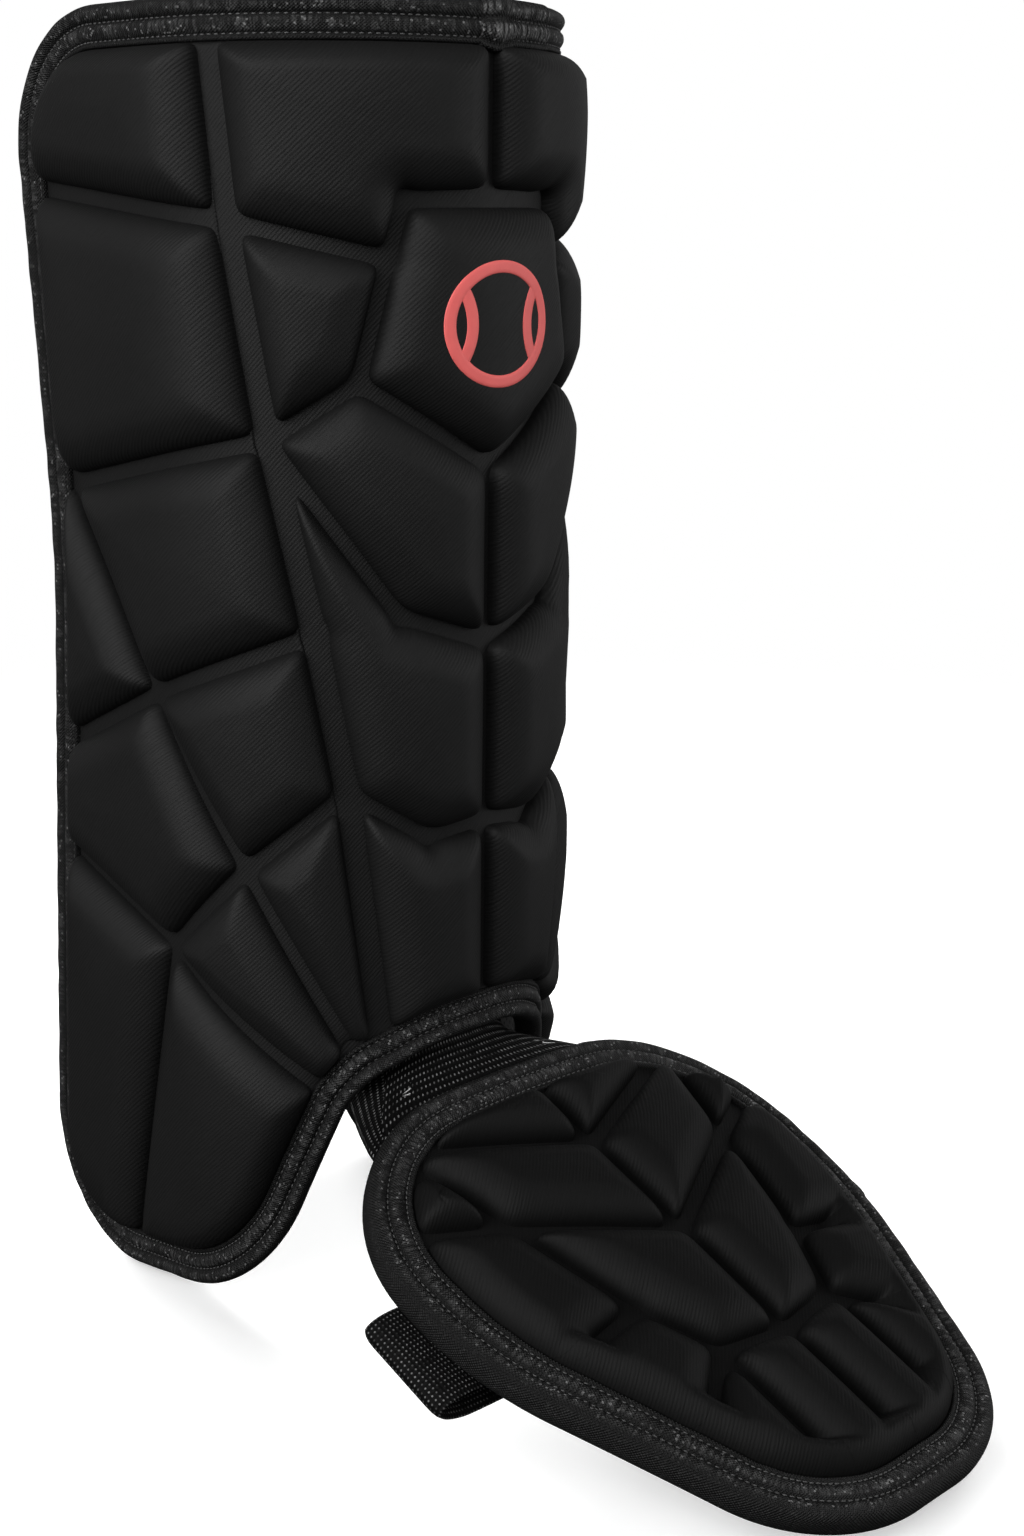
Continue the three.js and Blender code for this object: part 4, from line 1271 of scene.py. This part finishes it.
STIRRUP_WIDTH = 28.0
STIRRUP_PLACE = -0.375
STIRRUP_INSET = 2.1
STIRRUP_SEWN = 0.5
STIRRUP_FOLD = 0.93
STIRRUP_PAST = 7
STIRRUP_HALF_DEPTH = 4.6
STIRRUP_LIFT = 1.8
STIRRUP_SAG = 1.5


def foot_stirrup(material):
    """Webbing loop: from under the foot panel out past its rim, round a fold and back beneath it, the same on
    both sides. Fold: (fold + bulge * sin t, top - half depth * (1 - cos t) + lift * sin t)."""
    under = -(SHEET + STIRRUP_INSET + WEBBING / 2)
    fold = STIRRUP_FOLD * FOOT_HALF_WIDTH
    bulge = FOOT_HALF_WIDTH + STIRRUP_PAST - fold
    top_x = np.linspace(STIRRUP_SEWN * FOOT_HALF_WIDTH, fold, 16)
    top = np.stack([top_x, under - foot_crown(top_x)], -1)
    turn = np.linspace(0, math.pi, 22)[1:]
    drop = STIRRUP_HALF_DEPTH * (1 - np.cos(turn)) - STIRRUP_LIFT * np.sin(turn)
    bend = np.stack([fold + bulge * np.sin(turn), top[-1, 1] - drop], -1)
    half = np.concatenate([top, bend])
    sag = np.linspace(1, -1, 40)[1:-1]
    low = np.stack([fold * sag, bend[-1, 1] - STIRRUP_SAG * (1 - sag**2)], -1)
    path = np.concatenate([half, low, (half * (-1, 1))[::-1]])
    path, _ = smooth_curve(path[::2], 260)
    along = STIRRUP_PLACE * FOOT_LENGTH + np.linspace(0.5, -0.5, 25) * STIRRUP_WIDTH
    x = path[:, :1] + 0 * along
    z = path[:, 1:] + 0 * along
    band("foot_stirrup", foot_to_leg(x, along + 0 * x, z), STIRRUP_WIDTH, material, "stirrup_strap")


CALF_WIDTH = 38.0
CALF_PLACE = 0.69
CALF_INSET = 1.9
CALF_SEWN = 28
CALF_PAST = 2
CALF_BULGE = 27


def calf_band(material):
    """Webbing from inside one side of the shin panel round the back of the calf to the other: straight runs along
    the sides, and between them half an ellipse."""
    in_shin = -(SHEET + CALF_INSET + WEBBING / 2)
    outline = rounded_outline(shin_corners, FINE_PITCH)[0]
    up = np.linspace(0.5, -0.5, 25) * CALF_WIDTH + (CALF_PLACE - 0.5) * PANEL_HEIGHT
    side = edge_at(outline[:, ::-1], up, np.max)
    start = [on_shin(side - back, up, in_shin + 0 * up) for back in np.linspace(CALF_SEWN, -CALF_PAST, 12)]
    end = start[-1]
    turn = np.linspace(0, math.pi, 60)[1:-1, None]
    x, y = end[:, 0] * np.cos(turn), end[:, 1] + CALF_BULGE * np.sin(turn)
    back = np.stack(np.broadcast_arrays(x, y, up), -1)
    other = np.stack(start[::-1]) * (-1, 1, 1)
    band("calf_band", np.concatenate([start, back, other]), CALF_WIDTH, material, "calf_strap")


# Badge
BADGE_RADIUS = 15.2
BADGE_LINE = 3.0
BADGE_ACROSS = -2.0
BADGE_SEAM_OFFSET = 24.0
BADGE_SEAM_RADIUS = 17.5
BADGE_PLACE = 0.780
RING_LIFT = 0.16
ARC_LIFT = 0.13

# Section of the film: share of the line's width in from the outer edge, and share of the lift
FILM_SECTION = np.array([
    (0, 0),
    (0.08, 1),
    (0.35, 1),
    (0.65, 1),
    (0.92, 1),
    (1, 0),
    (1, -1),
    (0.5, -1),
    (0, -1),
])


def badge_film(material):
    """Ring and two arcs of film that follow the shield pad: flat place = centre + r * (cos a, sin a)."""
    middle = (BADGE_PLACE - 0.5) * PANEL_HEIGHT
    shield = Pad(shield_loop(), [GROOVE / 2] * 7, shin_field, SHIN_TAPE_WIDTH + GROOVE / 2)
    inside = BADGE_RADIUS - BADGE_LINE / 2
    seam_middle = BADGE_SEAM_RADIUS - BADGE_LINE / 2
    cosine = (inside**2 - BADGE_SEAM_OFFSET**2 - seam_middle**2) / (-2 * BADGE_SEAM_OFFSET * seam_middle)
    half = math.acos(cosine)
    arcs = [
        (0.0, BADGE_RADIUS, np.linspace(0, TAU, 120, endpoint=False), RING_LIFT, True),
        (-BADGE_SEAM_OFFSET, BADGE_SEAM_RADIUS, np.linspace(-half, half, 50), ARC_LIFT, False),
        (BADGE_SEAM_OFFSET, BADGE_SEAM_RADIUS, math.pi + np.linspace(-half, half, 50), ARC_LIFT, False),
    ]
    parts = []
    for across, outer, angle, lift, closed in arcs:
        radius = outer - BADGE_LINE * FILM_SECTION[:, 0]
        high = FILM_SECTION[:, 1] * lift
        x = BADGE_ACROSS + across + radius * np.cos(angle)[:, None]
        y = middle + radius * np.sin(angle)[:, None]
        shape = on_shin(x, y, shield.height(x, y, 1.0, flat_floor) + high)
        rows, columns = x.shape
        quads, _ = grid_faces(rows, columns, wrap_rows=closed, wrap_columns=True)
        blocks = [quads]
        if not closed:
            blocks += [np.arange(columns)[None, ::-1], (np.arange(columns) + (rows - 1) * columns)[None]]
        flat = np.stack([x, y], -1).reshape(-1, 2)
        parts.append((shape.reshape(-1, 3), blocks, [flat[block] for block in blocks]))
    piece = build_piece("badge_film", *join_parts(parts), material, "coral_film")
    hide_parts("shield_badge")


# Studio: the room's dim light, and each lamp's name, place in metres, size and power
ROOM_FALL = 0.9
REAR_SHARE = 0.3
UNDER_SHARE = 0.1
ROOM_LIGHT = 0.40
LAMPS = [
    ("top", (-0.85, -0.95, 0.95), 1.2, 10),
    ("right", (1.05, -1.05, 0.15), 0.8, 6),
    ("left", (-1.35, -0.05, 0.6), 1.1, 18),
    ("back", (0.35, 1.5, 0.6), 1.2, 55),
    ("far side", (1.5, 0.45, 0.4), 1.1, 26),
]


def make_backdrop():
    """White to the camera. To everything else it is dim, so that the lamps shape the black cloth:
    ROOM_LIGHT * (1 - ROOM_FALL * z^2), falling to REAR_SHARE at the rear and to UNDER_SHARE below."""
    world = bpy.data.worlds.new("backdrop")
    bpy.context.scene.world = world
    world.use_nodes = True
    tree = world.node_tree
    tree.nodes.clear()
    kinds = ["Background", "Background", "TexCoord", "SeparateXYZ", "Math", "MapRange", "MapRange", "Math"]
    kinds += ["MapRange", "Math", "LightPath", "MixShader", "OutputWorld"]
    made = [tree.nodes.new("ShaderNode" + kind) for kind in kinds]
    white, dim, place, parts, square, fall, rear, level, under, whole, path, mix, outlet = made
    white.inputs["Color"].default_value = grey(1.0)
    square.operation = level.operation = whole.operation = "MULTIPLY"
    under.inputs["From Min"].default_value = -0.4
    under.inputs["From Max"].default_value = 0.05
    under.inputs["To Min"].default_value = UNDER_SHARE
    rear.inputs["To Min"].default_value = 1.0
    rear.inputs["To Max"].default_value = REAR_SHARE
    fall.inputs["To Min"].default_value = ROOM_LIGHT
    fall.inputs["To Max"].default_value = ROOM_LIGHT * (1 - ROOM_FALL)
    links = [
        (place.outputs["Generated"], parts.inputs[0]),
        (parts.outputs[2], square.inputs[0]),
        (parts.outputs[2], square.inputs[1]),
        (square.outputs[0], fall.inputs["Value"]),
        (parts.outputs[1], rear.inputs["Value"]),
        (fall.outputs[0], level.inputs[0]),
        (rear.outputs[0], level.inputs[1]),
        (parts.outputs[2], under.inputs["Value"]),
        (level.outputs[0], whole.inputs[0]),
        (under.outputs[0], whole.inputs[1]),
        (whole.outputs[0], dim.inputs["Strength"]),
        (path.outputs["Is Camera Ray"], mix.inputs[0]),
        (dim.outputs[0], mix.inputs[1]),
        (white.outputs[0], mix.inputs[2]),
        (mix.outputs[0], outlet.inputs["Surface"]),
    ]
    for source, target in links:
        tree.links.new(source, target)
    dim.inputs["Color"].default_value = grey(1.0)
    bpy.context.scene.view_settings.view_transform = "Standard"


FLOOR_REACH = 2.0
FLOOR_GAP = 0.0005
FLOOR_SIDES = 64


def make_floor():
    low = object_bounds()[0][2]
    mesh = bpy.data.meshes.new("floor")
    turn = np.linspace(0, TAU, FLOOR_SIDES, endpoint=False)
    x, y = FLOOR_REACH * np.cos(turn), FLOOR_REACH * np.sin(turn)
    ring = np.stack([x, y, np.full(FLOOR_SIDES, low - FLOOR_GAP)], -1)
    mesh.from_pydata(ring.tolist(), [], [list(range(FLOOR_SIDES))])
    mesh.materials.append(pale_floor())
    floor = bpy.data.objects.new("floor", mesh)
    bpy.context.scene.collection.objects.link(floor)
    floor.visible_diffuse = False
    floor.visible_glossy = False


def make_studio():
    make_backdrop()
    for name, place, size, power in LAMPS:
        lamp = area_light(name, place, (0, 0, 0), size, power)
        lamp.visible_glossy = name not in ("back", "far side")
    make_floor()


make_camera()
tape = knit_tape("knit_tape", 0.046)
web = elastic_web("elastic_web", 1.75, 1.25, 0.17)
fine_web = elastic_web("fine_web", 1.25, 1.05, 0.15)
thread = sewing_thread()
shin_pads(foam_cloth("shin_cloth", 0.0056, 0.0102, 0.16))
# The foot's cloth is the shin's cloth painted darker and made less shiny: painted shade, for the foot's upward face
# takes more of the lamps' light.
foot_pads(foam_cloth("shaded_foot_cloth", 0.0032, 0.0058, 0.10))
edge_tape("shin_tape", shin_corners, SHIN_TAPE_WIDTH, on_shin, tape, "shin_binding")
edge_tape("foot_tape", foot_corners, FOOT_TAPE_WIDTH, on_foot, tape, "foot_binding")
stitch_rows("shin_stitches", shin_corners, SHIN_TAPE_WIDTH, on_shin, thread)
stitch_rows("foot_stitches", foot_corners, FOOT_TAPE_WIDTH, on_foot, thread)
tape_joint(knit_tape("joint_knit", 0.15))
ankle_gusset(web)
gusset_wings(web)
bar_tacks(light_thread())
mesh_cloth = lining_mesh()
lining("shin_lining", shin_field, SHIN_TAPE_WIDTH, on_shin, mesh_cloth)
lining("foot_lining", foot_field, FOOT_TAPE_WIDTH, on_foot, mesh_cloth)
foot_stirrup(fine_web)
calf_band(fine_web)
badge_film(coral_film())
make_studio()
